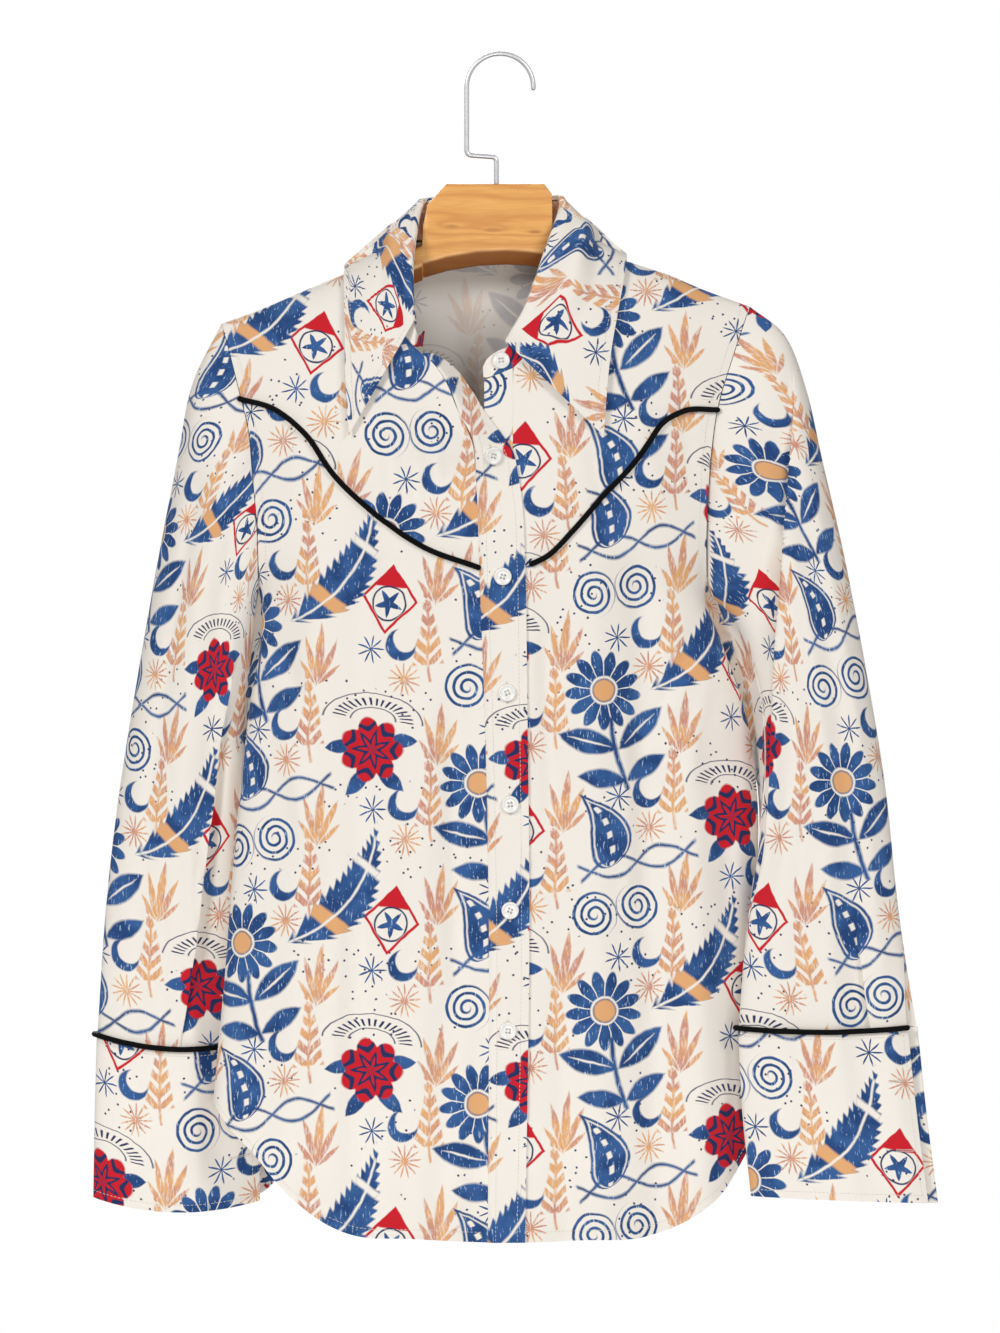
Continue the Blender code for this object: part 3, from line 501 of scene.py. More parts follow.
@dataclass(frozen=True)
class CottonPrint:
    """Light cotton with a scattered western garden print."""

    inks: Inks = Inks()
    space: PrintSpace = PrintSpace()
    roughness: float = 0.82
    sheen: float = 0.06
    thread: float = 0.00042
    # back face: the print pales towards this cream; that it is lighter than the ground is painted
    # light, for light through the thin cotton
    behind: Colour = ink(248, 242, 234)
    behind_share: float = 0.68

    def sprays(self, m: Motifs, blue: Value) -> Layers:
        """Large blue sprays and feathers.

        Args:
            m: the motifs.
            blue: the blue ink.

        Returns:
            Masks with their colours, the lowest first.
        """
        inks = self.inks
        a = m.spot(0.942, 0.661, 0.050, 14)
        reach, petals = m.polar(m.moved(a, 0.0, 0.42, 0.56), 13)
        bloom = (petals.scaled(0.34, 0.66) - reach).above(0, 0.03)
        veins = petals.below(0.16, 0.08) & reach.above(0.36) & bloom
        pair = m.mirrored(a)
        leaves = (m.leaf(pair, (0, -0.42), (0.78, -0.02), 0.17)
                  | m.leaf(pair, (0, -0.88), (0.66, -0.66), 0.13)
                  | m.stem(a, 0.05, -1.0, 0.2, 0.035))
        rib = m.leaf(pair, (0.1, -0.37), (0.66, -0.08), 0.016, 0.01)
        b = m.spot(0.377, 0.674, 0.050, -38)
        side = abs((b.y * b.y).scaled(0.30, b.x))
        barbs = (b.y.scaled(1.0, side * -1.1) * 42.0).sine()
        width = (b.y * b.y).scaled(-0.30, 0.30) * b.y.scaled(-0.25, 1.0)
        vane = (barbs.scaled(0.035, width) - side).above(0, 0.02)
        quill = side.below(0.018, 0.012) & b.y.above(-1.05) & b.y.below(0.9)
        return [(leaves, blue), (rib, inks.ground), (bloom, blue), (veins, inks.ground),
                (reach.near(0.33, 0.03), inks.ground), (reach.below(0.27, 0.03), inks.tan),
                (vane, blue), (vane & b.y.near(-0.42, 0.1), inks.tan),
                (vane & b.y.near(0.5, 0.05), inks.ground), (quill & vane, inks.ground)]

    def blossoms(self, m: Motifs, blue: Value) -> Layers:
        """Red blossoms with blue leaves, and red medallions.

        Args:
            m: the motifs.
            blue: the blue ink.

        Returns:
            Masks with their colours, the lowest first.
        """
        inks = self.inks
        c = m.spot(0.466, 0.094, 0.0245, 4)
        pair = m.mirrored(c)
        leaves = (m.leaf(pair, (0.1, -0.5), (0.85, -1.25), 0.22)
                  | m.leaf(pair, (0.4, 0.2), (1.35, 0.15), 0.2))
        reach, petals = m.polar(c, 7, 0.4)
        bloom = (petals.scaled(0.24, 0.70) - reach).above(0, 0.03)
        folds = reach.scaled(15.0, petals * 5.0).sine().above(0.25, 0.3)
        d = m.spot(0.550, 0.521, 0.025, -8)
        size = abs(d.x).scaled(1.22, abs(d.y))
        cap = size.below(0.93) & d.y.above(0.34)
        far, points = m.polar(m.moved(d, 0.0, -0.12, 0.42), 5)
        star = (points.scaled(-0.62, 0.98) - far).above(0, 0.04)
        rim = far.near(1.12, 0.06, 0.03) & size.below(0.86)
        return [(leaves, blue), (bloom, inks.red), (folds & bloom, inks.navy),
                (size.near(0.93, 0.06) | cap, inks.red), (star, blue), (rim, inks.navy)]

    def scrolls(self, m: Motifs, blue: Value) -> Layers:
        """Scrolls, looped cords, paisleys and fine ink fans.

        Args:
            m: the motifs.
            blue: the blue ink.

        Returns:
            Masks with their colours, the lowest first.
        """
        sums = m.graph.math
        f = m.spot(0.961, 0.056, 0.033, 12)
        half = sums("SIGN", f.x)
        x, y = abs(f.x) - 0.5, f.y * half
        angle, far = sums("ARCTAN2", x, y), sums("SQRT", x * x + y * y)
        coil = sums("FRACT", (far * 6.4).scaled(1.0, angle * (-1 / TURN_ALL)))
        scroll = coil.near(0.5, 0.2, 0.05) & far.below(0.5) & far.above(0.07)
        g = m.spot(0.054, 0.162, 0.047, 12)
        wave = (g.x * 4.2).sine() * 0.16
        rope = (g.y.near(wave, 0.026) | abs(g.y + wave).below(0.026)) & abs(g.x).below(0.94)
        e = m.spot(0.904, 0.345, 0.028, 24)
        bent = abs((e.y * e.y).scaled(0.32, e.x) - 0.1)
        bulge = sums("SQRT", sums("MAXIMUM", 1 - e.y * e.y, 0.0))
        inside = e.y.scaled(-0.25, 0.32) * bulge * 1.5 - bent
        thread = inside.near(0.12, 0.022)
        pips = bent.below(0.07) & (e.y * 18.0).sine().above(0.1, 0.2) & inside.above(0.2)
        k = m.spot(0.478, 0.226, 0.040, -6)
        lift = k.y.scaled(1.9, 0.5)
        bow, sweep = sums("SQRT", k.x * k.x + lift * lift), sums("ARCTAN2", k.x, lift)
        arcs = bow.near(0.9, 0.014, 0.012) | bow.near(0.42, 0.014, 0.012)
        rays = (sweep * 34.0).sine().above(0.35, 0.3) & bow.above(0.5) & bow.below(0.74)
        return [(inside.above(0.02), blue), (thread | pips, self.inks.ground), (scroll, blue),
                (rope, blue), ((arcs | rays) & lift.above(0.0), self.inks.navy)]

    def sprigs(self, m: Motifs, blue: Value, warm: Value) -> Layers:
        """Small tan sprigs, tufts and crescents on the half-sized repeat.

        Args:
            m: the motifs.
            blue: the blue ink.
            warm: the tan ink.

        Returns:
            Masks with their colours, the lowest first.
        """
        h = m.spot(0.418, 0.622, 0.030, 5, small=True)
        side = abs((h.y * 2.6).sine().scaled(-0.06, h.x))
        rows = (h.y.scaled(1.0, side * -1.0) * 19.0).sine().above(-0.35, 0.2)
        reach = (h.y.scaled(-0.2, 0.26) - side).above(0, 0.02) & h.y.above(-0.55)
        wheat = (rows & reach) | (side.below(0.03) & abs(h.y).below(0.95))
        blades = m.mirrored(m.spot(0.502, 0.994, 0.024, -6, small=True))
        agave = (m.leaf(blades, (0, -0.9), (0, 0.95), 0.13)
                 | m.leaf(blades, (0.03, -0.8), (0.5, 0.5), 0.1)
                 | m.leaf(blades, (0.05, -0.85), (0.62, -0.2), 0.07))
        tufts = []
        for place, points, sharp, long, core in (
                ((0.217, 0.482, 0.0125), 13, 4.0, 0.75, 0.2),
                ((0.941, 0.809, 0.0105, 30), 9, 6.0, 0.85, 0.12)):
            far, spikes = m.polar(m.spot(*place, small=True), points)
            spikes = m.graph.math("POWER", spikes, sharp)
            tufts.append((spikes.scaled(long, core) - far).above(0, 0.05))
        moon = m.spot(0.194, 0.710, 0.0115, 35, small=True)
        hollow = m.length(m.moved(moon, 0.42, 0.1)).above(0.74, 0.05)
        crescent = m.length(moon).below(0.95, 0.05) & hollow
        return [(wheat, warm), (agave, warm), (tufts[0], warm), (tufts[1], blue),
                (crescent, blue)]

    def build(self, name: str, side: Side) -> Material:
        """Make the material of one face of the cloth.

        Args:
            name: the material's name.
            side: the face; the print shows paler through the back, whose cream is painted a little
                lighter than the ground, a painted glow for light through the thin cotton.

        Returns:
            The material.
        """
        graph, inks = Finish(name), self.inks
        m = Motifs(graph, self.space)
        broad = graph.noise(m.cloth, 45.0, 2.0, 0.6)
        streak = graph.add("ShaderNodeMapping", {}, {"Vector": m.cloth, "Rotation": (0, 0, 0.7),
                                                     "Scale": (1.0, 0.22, 1.0)})
        brush = graph.noise(streak, 620.0, 3.0, 0.65)
        blue = graph.blend(broad.above(0.5, 0.12), inks.blue, inks.light_blue)
        blue = graph.blend(brush.above(0.66, 0.02), blue, inks.pale_blue)
        warm = graph.blend(broad.above(0.5, 0.1), inks.tan, inks.peach)
        warm = graph.blend(brush.above(0.57, 0.06) * 0.55, warm, inks.ground)
        specks = graph.add("ShaderNodeTexVoronoi", {"voronoi_dimensions": "2D"},
                           {"Vector": m.drawn, "Scale": 105.0})
        lone = graph.noise(m.cloth, 26.0, 0.0)
        dots = specks.below(0.085, 0.03) & lone.above(0.6, 0.01)
        colour: Value | Colour = inks.ground
        for mask, tone in [(dots, inks.navy), *self.sprigs(m, blue, warm),
                           *self.scrolls(m, blue), *self.blossoms(m, blue),
                           *self.sprays(m, blue)]:
            colour = graph.blend(mask, colour, tone)
        # print paled through the back, towards a cream partly lightened as painted light
        if side is Side.BACK:
            colour = graph.blend(self.behind_share, colour, self.behind)
        u, v = (graph.add("ShaderNodeSeparateXYZ", {}, {0: m.cloth}, part) for part in (0, 1))
        turns = math.pi / self.thread
        weave = (u * turns).sine() * (v * turns).sine()
        return graph.finish(Base_Color=colour, Roughness=self.roughness,
                            Specular_IOR_Level=0.2, Sheen_Weight=self.sheen,
                            Normal=graph.bump(weave, 0.25, 0.0001))


# --- the shirt's form, in millimetres -------------------------------------

class Fold(NamedTuple):
    """Soft fold down the body: a swell is positive outwards."""

    top_x: float
    top_z: float
    low_x: float
    low_z: float
    width: float
    swell: float
    begin: float = 60.0
    end: float = 0.0


class Drape(NamedTuple):
    """Soft fold along a sleeve, across from 1 at its right edge to -1."""

    face: int
    top: float
    from_share: float
    low: float
    to_share: float
    width: float
    swell: float


# Tables of a pair are kept by whether the piece is the wearer's right one.
OUT = {True: -1, False: 1}
SIDE = {True: "right", False: "left"}

# The body by height: its edges on the wearer's right and left, its depth before and behind.
LEVELS = [
    (-840, -206, 170, 37, 34), (-764, -203, 176, 38, 34), (-734, -201, 177, 38, 34),
    (-634, -192, 178, 38, 33), (-592, -189, 180, 38, 33), (-522, -183, 181, 38, 33),
    (-452, -175, 170, 40, 34), (-410, -168, 155, 41, 35), (-377, -169, 144, 42, 36),
    (-350, -182, 153, 43, 36), (-296, -191, 162, 42, 36), (-250, -199, 173, 41, 35),
    (-180, -209, 193, 40, 36), (-90, -212, 198, 40, 36),
]
# Height of the shoulders and the neck by distance across.
SHOULDERS = [
    (-195, -188), (-168, -178), (-140, -166), (-108, -152.5), (-63, -131), (-35, -115),
    (-8, -108), (18, -112), (44, -124), (89, -144), (119, -154), (140, -163), (175, -176),
]
# Folds of the body: top across and up, foot across and up, width, swell, fades.
FOLDS = {face: [Fold(*row) for row in rows] for face, rows in {
    FRONT: [
        (-128, -330, -148, -800, 15, 6), (-94, -300, -100, -830, 12, -5),
        (-52, -420, -60, -840, 14, 4), (64, -300, 72, -840, 15, 4.5),
        (98, -330, 112, -840, 12, -6), (134, -450, 146, -800, 12, 6),
        (-166, -395, -104, -520, 8, -2.8, 40, 60), (-160, -440, -120, -610, 7, 2.2, 50, 70),
        (-34, -430, -30, -700, 7, -2.4, 60, 90), (-24, -660, -32, -835, 8, 2.2),
        (32, -385, 37, -560, 7, -3.2, 40, 70), (42, -600, 46, -835, 9, -2.4, 70),
        (146, -385, 92, -500, 7, -2.8, 30, 60), (150, -420, 118, -560, 6, 1.8, 30, 60),
        (158, -500, 164, -790, 6, -2.8, 70), (-182, -560, -190, -800, 7, -2.6, 80),
        (-112, -560, -118, -760, 6, 1.6, 60, 80), (-76, -520, -80, -835, 6, -1.8, 70),
        (86, -440, 92, -640, 6, 1.8, 50, 80), (122, -600, 128, -815, 6, -1.8),
        (-78, -258, -72, -345, 6, -2.8, 25, 30), (-60, -262, -58, -335, 5, -2.5, 25, 30),
        (-46, -250, -42, -325, 4.5, -2.4, 20, 30), (-128, -215, -150, -330, 8, 2, 30, 40),
        (92, -230, 118, -340, 8, 2.2, 30, 40), (64, -262, 72, -330, 6, -1.8, 25, 30),
        (126, -215, 136, -330, 7, -2, 25, 50)],
    BACK: [
        (-120, -300, -140, -830, 16, 5.5), (-60, -260, -70, -840, 14, -5),
        (10, -330, 4, -840, 18, 5), (80, -280, 92, -840, 13, -5.5), (128, -360, 140, -830, 13, 5),
        (-160, -400, -96, -540, 8, -2.8, 40, 60), (140, -395, 88, -520, 8, -2.6, 40, 60),
        (44, -420, 40, -700, 9, -2.2, 70, 80), (-32, -560, -38, -835, 9, 2.4, 70),
        (-96, -470, -100, -700, 7, -2, 60, 80), (108, -560, 116, -835, 7, 2, 70),
        (160, -520, 166, -800, 7, -2.6, 70), (-184, -560, -190, -800, 7, -2.6, 80)],
}.items()}
# Height of the hem by distance across.
HEM = [
    (-202, -734), (-194, -747), (-172, -771), (-157, -789), (-144, -802), (-127, -815.5),
    (-108, -825), (-60, -828.5), (18, -831), (60, -829.5), (105, -827), (139, -812), (156, -798),
    (176, -766),
]
HEM_END, HEM_LOW = {True: -734, False: -766}, -831.0
# Height of each yoke's piped seam by distance across.
YOKE = {
    True: [
        (-183, -241), (-154, -251), (-133, -270), (-119, -291), (-91, -319), (-56, -344),
        (-14, -360)],
    False: [
        (9, -364), (18, -359), (34, -351), (52, -333), (70, -312), (98, -281), (112, -260),
        (126, -251), (153, -249)],
}
# Distance across of each armhole by height.
ARMHOLE = {
    True: [
        (-377, -169), (-330, -170), (-296, -173), (-260, -176.5), (-238, -182), (-214, -188),
        (-188, -195)],
    False: [
        (-371, 145), (-345, 144.5), (-312, 145.5), (-277, 148), (-249, 152), (-207, 164.5),
        (-176, 175)],
}
# The upper strip by height: its seam and how far it is lifted, its free edge and its lift.
STRIP = [
    (-831, -8.5, 0, 17.5, 0), (-592, -8, 0, 20.5, 0), (-452, -11, 0, 19, 0),
    (-360, -14.5, 0, 17.5, 0), (-311, -16, 1, 15, 0), (-294, -17, 3, 12.5, 0),
    (-279, -18, 8, 9, 0), (-267, -21, 11, 1.5, 0), (-254, -28, 12, -8.5, 0),
    (-234, -36, 11, -21, -4), (-222, -43, 9, -30, -4), (-215, -49, 7, -38, -3),
    (-207, -60, 5, -54, 0),
]
# Sections of each sleeve: two edges across and up, half its depth, its middle, its sag.
SLEEVE = {
    True: [
        (-169, -377, -195, -188, 18, 0, 0), (-172, -391, -216, -231, 26, 2, 0),
        (-174, -412, -227, -284, 28, 6, 0), (-178, -455, -240, -350, 28, 12, 0),
        (-178, -520, -256, -440, 25, 18, 0), (-174, -580, -269, -522, 22, 22, 1),
        (-169, -635, -278, -600, 19, 25, 3), (-161, -687, -284, -687.5, 15, 28, 10.5)],
    False: [
        (175, -176, 145, -371, 18, 0, 0), (200, -197, 149, -380, 27, -2, 0),
        (215, -235, 162, -393, 30, -5, 0), (227, -288, 175, -420, 30, -8, 0),
        (241, -350, 184, -455, 28, -12, 0), (257, -434, 186, -502, 26, -16, 0),
        (270, -515, 181, -556, 23, -19, 0), (279, -600, 172, -618, 19, -21, 1),
        (291, -680, 167, -681, 15, -22, 3)],
}
# Sections of each cuff, in the same columns.
CUFF = {
    True: [
        (-160.5, -687.5, -284.5, -688, 15.5, 28, 10.5), (-158, -744, -286, -744.5, 16, 28, 10.5),
        (-157, -801, -287, -803, 16.5, 28, 11)],
    False: [
        (291.5, -680.5, 166.5, -681.5, 15.5, -22, 3), (298, -742, 169.5, -741, 16, -23, 1),
        (306, -804, 175.5, -799, 16.5, -24, 0)],
}
# Soft folds along each sleeve: face, place and share at both ends, width, swell.
DRAPES = {
    True: [
        (FRONT, 0.3, 0.12, 0.42, 1.3, 0.16, -2.6), (FRONT, -0.1, 0.05, -0.12, 0.8, 0.2, 2.2),
        (FRONT, -0.52, 0.2, -0.56, 1.3, 0.13, -2.4), (FRONT, 0.66, 0.3, 0.7, 0.95, 0.11, 2.2),
        (FRONT, 0.1, 0.62, 0.12, 1.3, 0.1, 2), (FRONT, -0.26, 0.7, -0.3, 1.3, 0.08, -1.6),
        (BACK, 0.34, 0.12, 0.4, 1.3, 0.16, -2.6), (BACK, -0.2, 0.08, -0.22, 0.9, 0.2, 2.4),
        (BACK, -0.6, 0.3, -0.6, 1.3, 0.12, -2), (BACK, 0.05, 0.55, 0.08, 1.3, 0.1, -1.8)],
    False: [
        (FRONT, 0.42, 0.1, 0.4, 1.3, 0.16, -2.2), (FRONT, 0.02, 0.25, 0.1, 1.3, 0.13, 2),
        (FRONT, -0.34, 0.5, -0.3, 1.3, 0.11, -2.2), (FRONT, 0.7, 0.3, 0.72, 1.3, 0.1, 1.8),
        (FRONT, -0.62, 0.62, -0.6, 1.3, 0.1, 1.8), (BACK, 0.4, 0.12, 0.44, 1.3, 0.16, -2.6),
        (BACK, -0.1, 0.1, -0.14, 0.9, 0.2, 2.4), (BACK, -0.56, 0.3, -0.6, 1.3, 0.12, -2),
        (BACK, 0.12, 0.6, 0.1, 1.3, 0.1, 1.8)],
}
# Lines on which a sleeve's front lies over the rest: height, distance across, depth.
STEPS = {
    True: [[
        (-692, -221.5, 2), (-677.6, -219.5, 4), (-649.6, -216, 6), (-621.6, -212.5, 8),
        (-584.5, -208.3, 9), (-559, -205, 10), (-515, -199, 10), (-473, -194, 9),
        (-447, -187.5, 6), (-420, -181, 0)]],
    False: [[
        (-640, 166, 0), (-606, 171, 3), (-560, 181.5, 6), (-522, 185.5, 9), (-474, 187.8, 12),
        (-444, 189.2, 13), (-412, 191, 14), (-381, 193.9, 14), (-347, 196.4, 13),
        (-313, 198.8, 11), (-279, 201.6, 8), (-245, 202.5, 4), (-215, 202, 0)], [
        (-684, 257, 5), (-660, 253.4, 6), (-641, 250.6, 5), (-620, 246.4, 3), (-596, 243, 0)]],
}
# Posts of the collar stand: its foot across, up and lifted, its top in three directions.
STANDS = [
    (-11.5, -227, 0, -12, -37.5, -219.5), (-8, -227, 0, -8.5, -37, -213.5),
    (0, -224, 0, -1.5, -36.5, -208.5), (9, -220, 0, 5.5, -35.5, -205),
    (18, -211, 0, 11.5, -37.5, -195), (30, -197.5, 0, 19.5, -36, -181),
    (38.5, -178.5, 0, 27, -31.5, -159.5), (44.5, -151.5, 0, 35.5, -21.5, -133.5),
    (45, -124.4, 0, 43, 0, -105), (36, -125.5, 0, 34.5, 15, -101.5),
    (14, -128, 0, 13, 20, -100.5), (-9, -130.5, 0, -9, 21.5, -100.5),
    (-32, -130, 0, -29, 20, -101), (-56, -129.5, 0, -50.5, 13, -103),
    (-64, -131.5, 0, -56.5, 0, -108), (-70, -149.5, 0, -61, -20, -134),
    (-71.5, -174, 2, -62.5, -30, -158.5), (-68.5, -194, 4, -61.5, -37.5, -180.5),
    (-60, -205.3, 6, -58.5, -43.5, -195), (-56, -205.3, -4, -54.5, -31, -197),
    (-54, -205.3, -12, -52.5, -23, -194),
]
# Edge of the collar fall, across and up, and how far the fall stands proud.
LEAVES = [
    (72.5, -268, 1), (75, -232, 2), (78, -206, 3), (83, -178, 4), (87, -155, 4), (88, -138, 3),
    (72, -147, 1), (34, -147, 1), (-9, -147, 1), (-50, -150, 1), (-92, -156, 1),
    (-108, -146.8, 3), (-109, -172, 4), (-108.5, -196, 3.5), (-108, -225, 2.5),
    (-105.5, -267.5, 1),
]
# The hanger by distance across: its top, its low edge, half its depth.
RAILS = [
    (-171, -186, -195, 2.4), (-166, -180.5, -201, 3.4), (-140, -168.8, -192, 5.2),
    (-108, -155.5, -178, 6.2), (-72, -140.5, -164, 6.6), (-62, -136.5, -160.5, 6.8),
    (-54.5, -133, -157.5, 7), (-54, -119, -155.5, 7), (-51, -104.5, -155, 7),
    (-37.8, -90, -151, 7), (-16, -90, -147.3, 7), (5, -90, -146.3, 7), (20, -90, -147.3, 7),
    (31, -90, -149, 7), (36.8, -97.6, -150.7, 7), (36.4, -123, -151, 7), (40.5, -129, -152, 7),
    (52, -133, -156, 6.8), (89, -147, -171, 6.2), (119, -156.8, -180.5, 5.6),
    (140, -165.8, -190, 4.6), (152, -170.8, -193, 3.6), (157, -175.5, -188, 2.4),
]

# The rounding of the shoulders and of the sides, and the lean of the lower body.
SHOULDER_DROP, SIDE_POWER = 110.0, 2.6
TURN, TURN_FROM, TURN_TO = 10.0, -375.0, -600.0
SEAM_FACE, SEAM, NEARBY = 0.5, 0.04, 0.5
ARMHOLE_BACK, ARMHOLE_SEAM = 6.0, 0.5
# The buttoned strips and the neck.
LIFT_SPREAD, LIFT_FADE, NECK_LEFT, NECK_RIGHT = 42.0, 60.0, -229.0, -207.0
LOWER_TOP, LOWER_FOOT, LOWER_SEAM, LOWER_DROP, LOWER_FADE = -11.0, -6.0, 9.0, 15.0, 60.0
STRIP_LIFT, STRIP_RAMP, STRIP_START, STRIP_TOP_GAP, STRIP_HINGE = 2.1, 3.5, 0.6, 3.2, 0.04
# The sleeves: their slit, their free edge and the line on which the front lies over.
SLIT_LENGTH, SLEEVE_TURN_IN, CAP_FADE, BACK_SAG, DRAPE_FADE = 0.14, 0.7, 0.35, 0.3, 0.12
FREE_EDGE = {True: 0.62, False: 0.46}
STEP_WIDE, STEP_OVER, STEP_REACH, STEP_FULL = 6.0, 4.0, 38.0, 8.0
STEP_NEAR, STEP_CLOSE, STEP_DEEP, STEP_LEAVES, STEP_SOFT = 0.13, 5.0, 4.0, 0.35, 0.4
FRONT_INSET, FINE_TURNS = 0.05, 1200
# The spare cloth of the sleeves, drawn behind the body's sides.
SPARE_FROM, SPARE_RISE, SPARE_FALL, SPARE_TO = 0.08, 0.42, 0.8, 1.5
SPARE_BACK = {True: 5.0, False: 17.0}
SPARE_BESIDE, SPARE_BEHIND, SPARE_CAP, SPARE_INSIDE = 1.0, 1.5, 0.08, 4.0
SPARE_SOFT, TUCK_FROM = 3.0, 1.2
UNDERLAP, UNDERLAP_DROP, UNDERLAP_RISE, UNDERLAP_FROM = 1.05, 14.0, 10.5, 5.5
LAP_SOFT, LAP_RISE, CUFF_SHARE = 0.12, 0.7, 0.25
CUFF_HIGH, CUFF_ACROSS = 114.0, 55.0
# Where the hem's stitching of each front ends, beside the buttoned strips.
HEM_STITCHED = {True: -14.0, False: 24.0}
# Posts of the stand at the shoulders, and the fall's first and last ones.
SHOULDER_LEFT, SHOULDER_RIGHT = 8, 14
STAND_SEAM, STAND_NEARBY, FALL_FIRST, FALL_LAST, FALL_END = 0.6, 0.002, 3, 18, 17.7
FALL_CLEAR, FALL_SETTLE = 5.0, 0.8
ROLL_RADIUS, ROLL_BACK, ROLL_RISE, ROLL_SEAM = 2.6, 1.6, 1.0, 1.0
ROLL_SHARE, ROLL_START, NECK_SHARE = 0.2, 0.3, 0.4
# Small uneven waves: height, seed, lengths, and the span over which they set in.
RUFFLE_BODY, BODY_WAVES, BODY_SEED = 0.45, (64.0, 38.0, 23.0), 5
RUFFLE_TOP, RUFFLE_FADE = -150, 120
RUFFLE_SLEEVE, SLEEVE_WAVES, SLEEVE_SEEDS = 0.5, (58.0, 34.0, 19.0), {True: 11, False: 17}
SLEEVE_WIDE, SLEEVE_LONG, SLEEVE_APART = 55, 520, 31.0


def swell(x: Array, z: Array, face: int) -> Array:
    """How far the folds of one face of the body push the cloth out.

    Args:
        x: distance across.
        z: height.
        face: FRONT or BACK.

    Returns:
        The push, in millimetres.
    """
    total = np.zeros(np.broadcast(x, z).shape)
    for fold in FOLDS[face]:
        share = (z - fold.top_z) / (fold.low_z - fold.top_z)
        centre = mix(fold.top_x, fold.low_x, share)
        begins = ease((fold.top_z - z) / fold.begin)
        ends = ease((z - fold.low_z) / fold.end) if fold.end else 1.0
        total = total + fold.swell * begins * ends * np.exp(-((x - centre) / fold.width) ** 2)
    waves = ruffle(x, z, BODY_SEED + face, BODY_WAVES)
    return total + RUFFLE_BODY * waves * ease((RUFFLE_TOP - z) / RUFFLE_FADE)


def body(x: Array, z: Array, face: int, grow: float = 0.0) -> Array:
    """Points of the body's form.

    Args:
        x: distance across.
        z: height.
        face: FRONT or BACK.
        grow: clearance outwards from the form.

    Returns:
        The points, in millimetres.
    """
    x, z = np.broadcast_arrays(np.asarray(x, float), np.asarray(z, float))
    left, right, front, back = read(LEVELS, z)
    half = (right - left) / 2 + grow
    across = np.clip((x - (left + right) / 2) / half, -1, 1)
    drop = np.clip((read(SHOULDERS, x)[0] + grow - z) / SHOULDER_DROP, 0, 1)
    over = np.sqrt(1 - (1 - drop) ** 2)
    around = np.sqrt(1 - np.abs(across) ** SIDE_POWER)
    depth = (front if face == FRONT else back) + grow
    turn = TURN * across * ease((z - TURN_FROM) / (TURN_TO - TURN_FROM))
    y = turn + face * (SEAM_FACE + (depth + swell(x, z, face)) * over * around)
    return np.stack([x, y, z], axis=-1)


def right_front(x: Array, z: Array, grow: float = 0.0) -> Array:
    """Points of the wearer's right front, lifted beside its buttoned edge.

    Args:
        x: distance across.
        z: height.
        grow: clearance outwards.

    Returns:
        The points.
    """
    points = body(x, z, FRONT, grow)
    seam, lift, _, _ = read(STRIP, z)
    fading = lift * ease(1 - (z - NECK_RIGHT) / LIFT_FADE)
    lift = np.where(np.asarray(z) > NECK_RIGHT, fading, lift)
    points[..., 1] -= lift * np.exp(-((x - seam) / LIFT_SPREAD) ** 2)
    return points


def left_front(x: Array, z: Array, grow: float = 0.0) -> Array:
    """The wearer's left front."""
    return body(x, z, FRONT, grow)


def back_face(x: Array, z: Array, grow: float = 0.0) -> Array:
    """The back."""
    return body(x, z, BACK, grow)


FRONTS = {True: right_front, False: left_front}


def moved_out(form: Callable, x: Array, z: Array, distance: float) -> Array:
    """Points of a form, moved along its outward normal.

    Args:
        form: the form, from distance across and height.
        x: distance across.
        z: height.
        distance: how far they move.

    Returns:
        The moved points.
    """
    side = form(x + NEARBY, z) - form(x - NEARBY, z)
    rise = form(x, z + NEARBY) - form(x, z - NEARBY)
    normal = unit(np.cross(side, rise)) * (-1 if form is back_face else 1)
    return form(x, z) + normal * distance


def body_edge(z: Array, right: bool) -> Array:
    """Distance across of the body's edge on one side."""
    return read(LEVELS, z)[0 if right else 1]


def side_seam(z: Array, right: bool) -> Array:
    """Distance across of the outer seam: armhole above, side seam below."""
    armhole = ARMHOLE[right]
    return np.where(z > armhole[0][0], read(armhole, z)[0], body_edge(z, right))


def back_seam(z: Array, right: bool) -> Array:
    """The same seam on the back, where the armhole runs further out.

    Args:
        z: height.
        right: the wearer's right side.

    Returns:
        Distance across of the seam.
    """
    low, high = ARMHOLE[right][0][0], ARMHOLE[right][-1][0]
    share = np.clip((z - low) / (high - low), 0, 1)
    return side_seam(z, right) + OUT[right] * ARMHOLE_BACK * np.sin(math.pi * share)


def inner_seam(z: Array, right: bool) -> Array:
    """Distance across of the seam of a front's buttoned strip."""
    return read(STRIP, z)[0] - SEAM if right else np.full(np.shape(z), LOWER_SEAM + SEAM)


def yoke_ends(right: bool) -> tuple[tuple[float, float], tuple[float, float]]:
    """Outer and inner end of a yoke's piped seam."""
    return (YOKE[right][0], YOKE[right][-1]) if right else (YOKE[right][-1], YOKE[right][0])


def neckline(right: bool) -> Array:
    """Places down a front's neckline, just outside the foot of the stand.

    Args:
        right: the wearer's right front.

    Returns:
        The places, from the shoulder down.
    """
    rows = STANDS[SHOULDER_RIGHT:FALL_LAST + 1] if right \
        else STANDS[SHOULDER_LEFT:FALL_FIRST - 1:-1]
    feet = np.array([row[:2] for row in rows])
    run = unit(np.gradient(feet, axis=0))
    away = np.column_stack([run[:, 1], -run[:, 0]]) * -OUT[right]
    line = feet + away * STAND_SEAM
    line[0] = feet[0] + (OUT[right] * STAND_SEAM, 0)
    line[0, 1] = read(SHOULDERS, line[0, 0])[0]
    return line


def back_neck(x: Array) -> Array:
    """Height of the back's neck edge, just below the foot of the stand."""
    rows = STANDS[SHOULDER_LEFT:SHOULDER_RIGHT + 1][::-1]
    return read([row[:2] for row in rows], x)[0] - STAND_SEAM


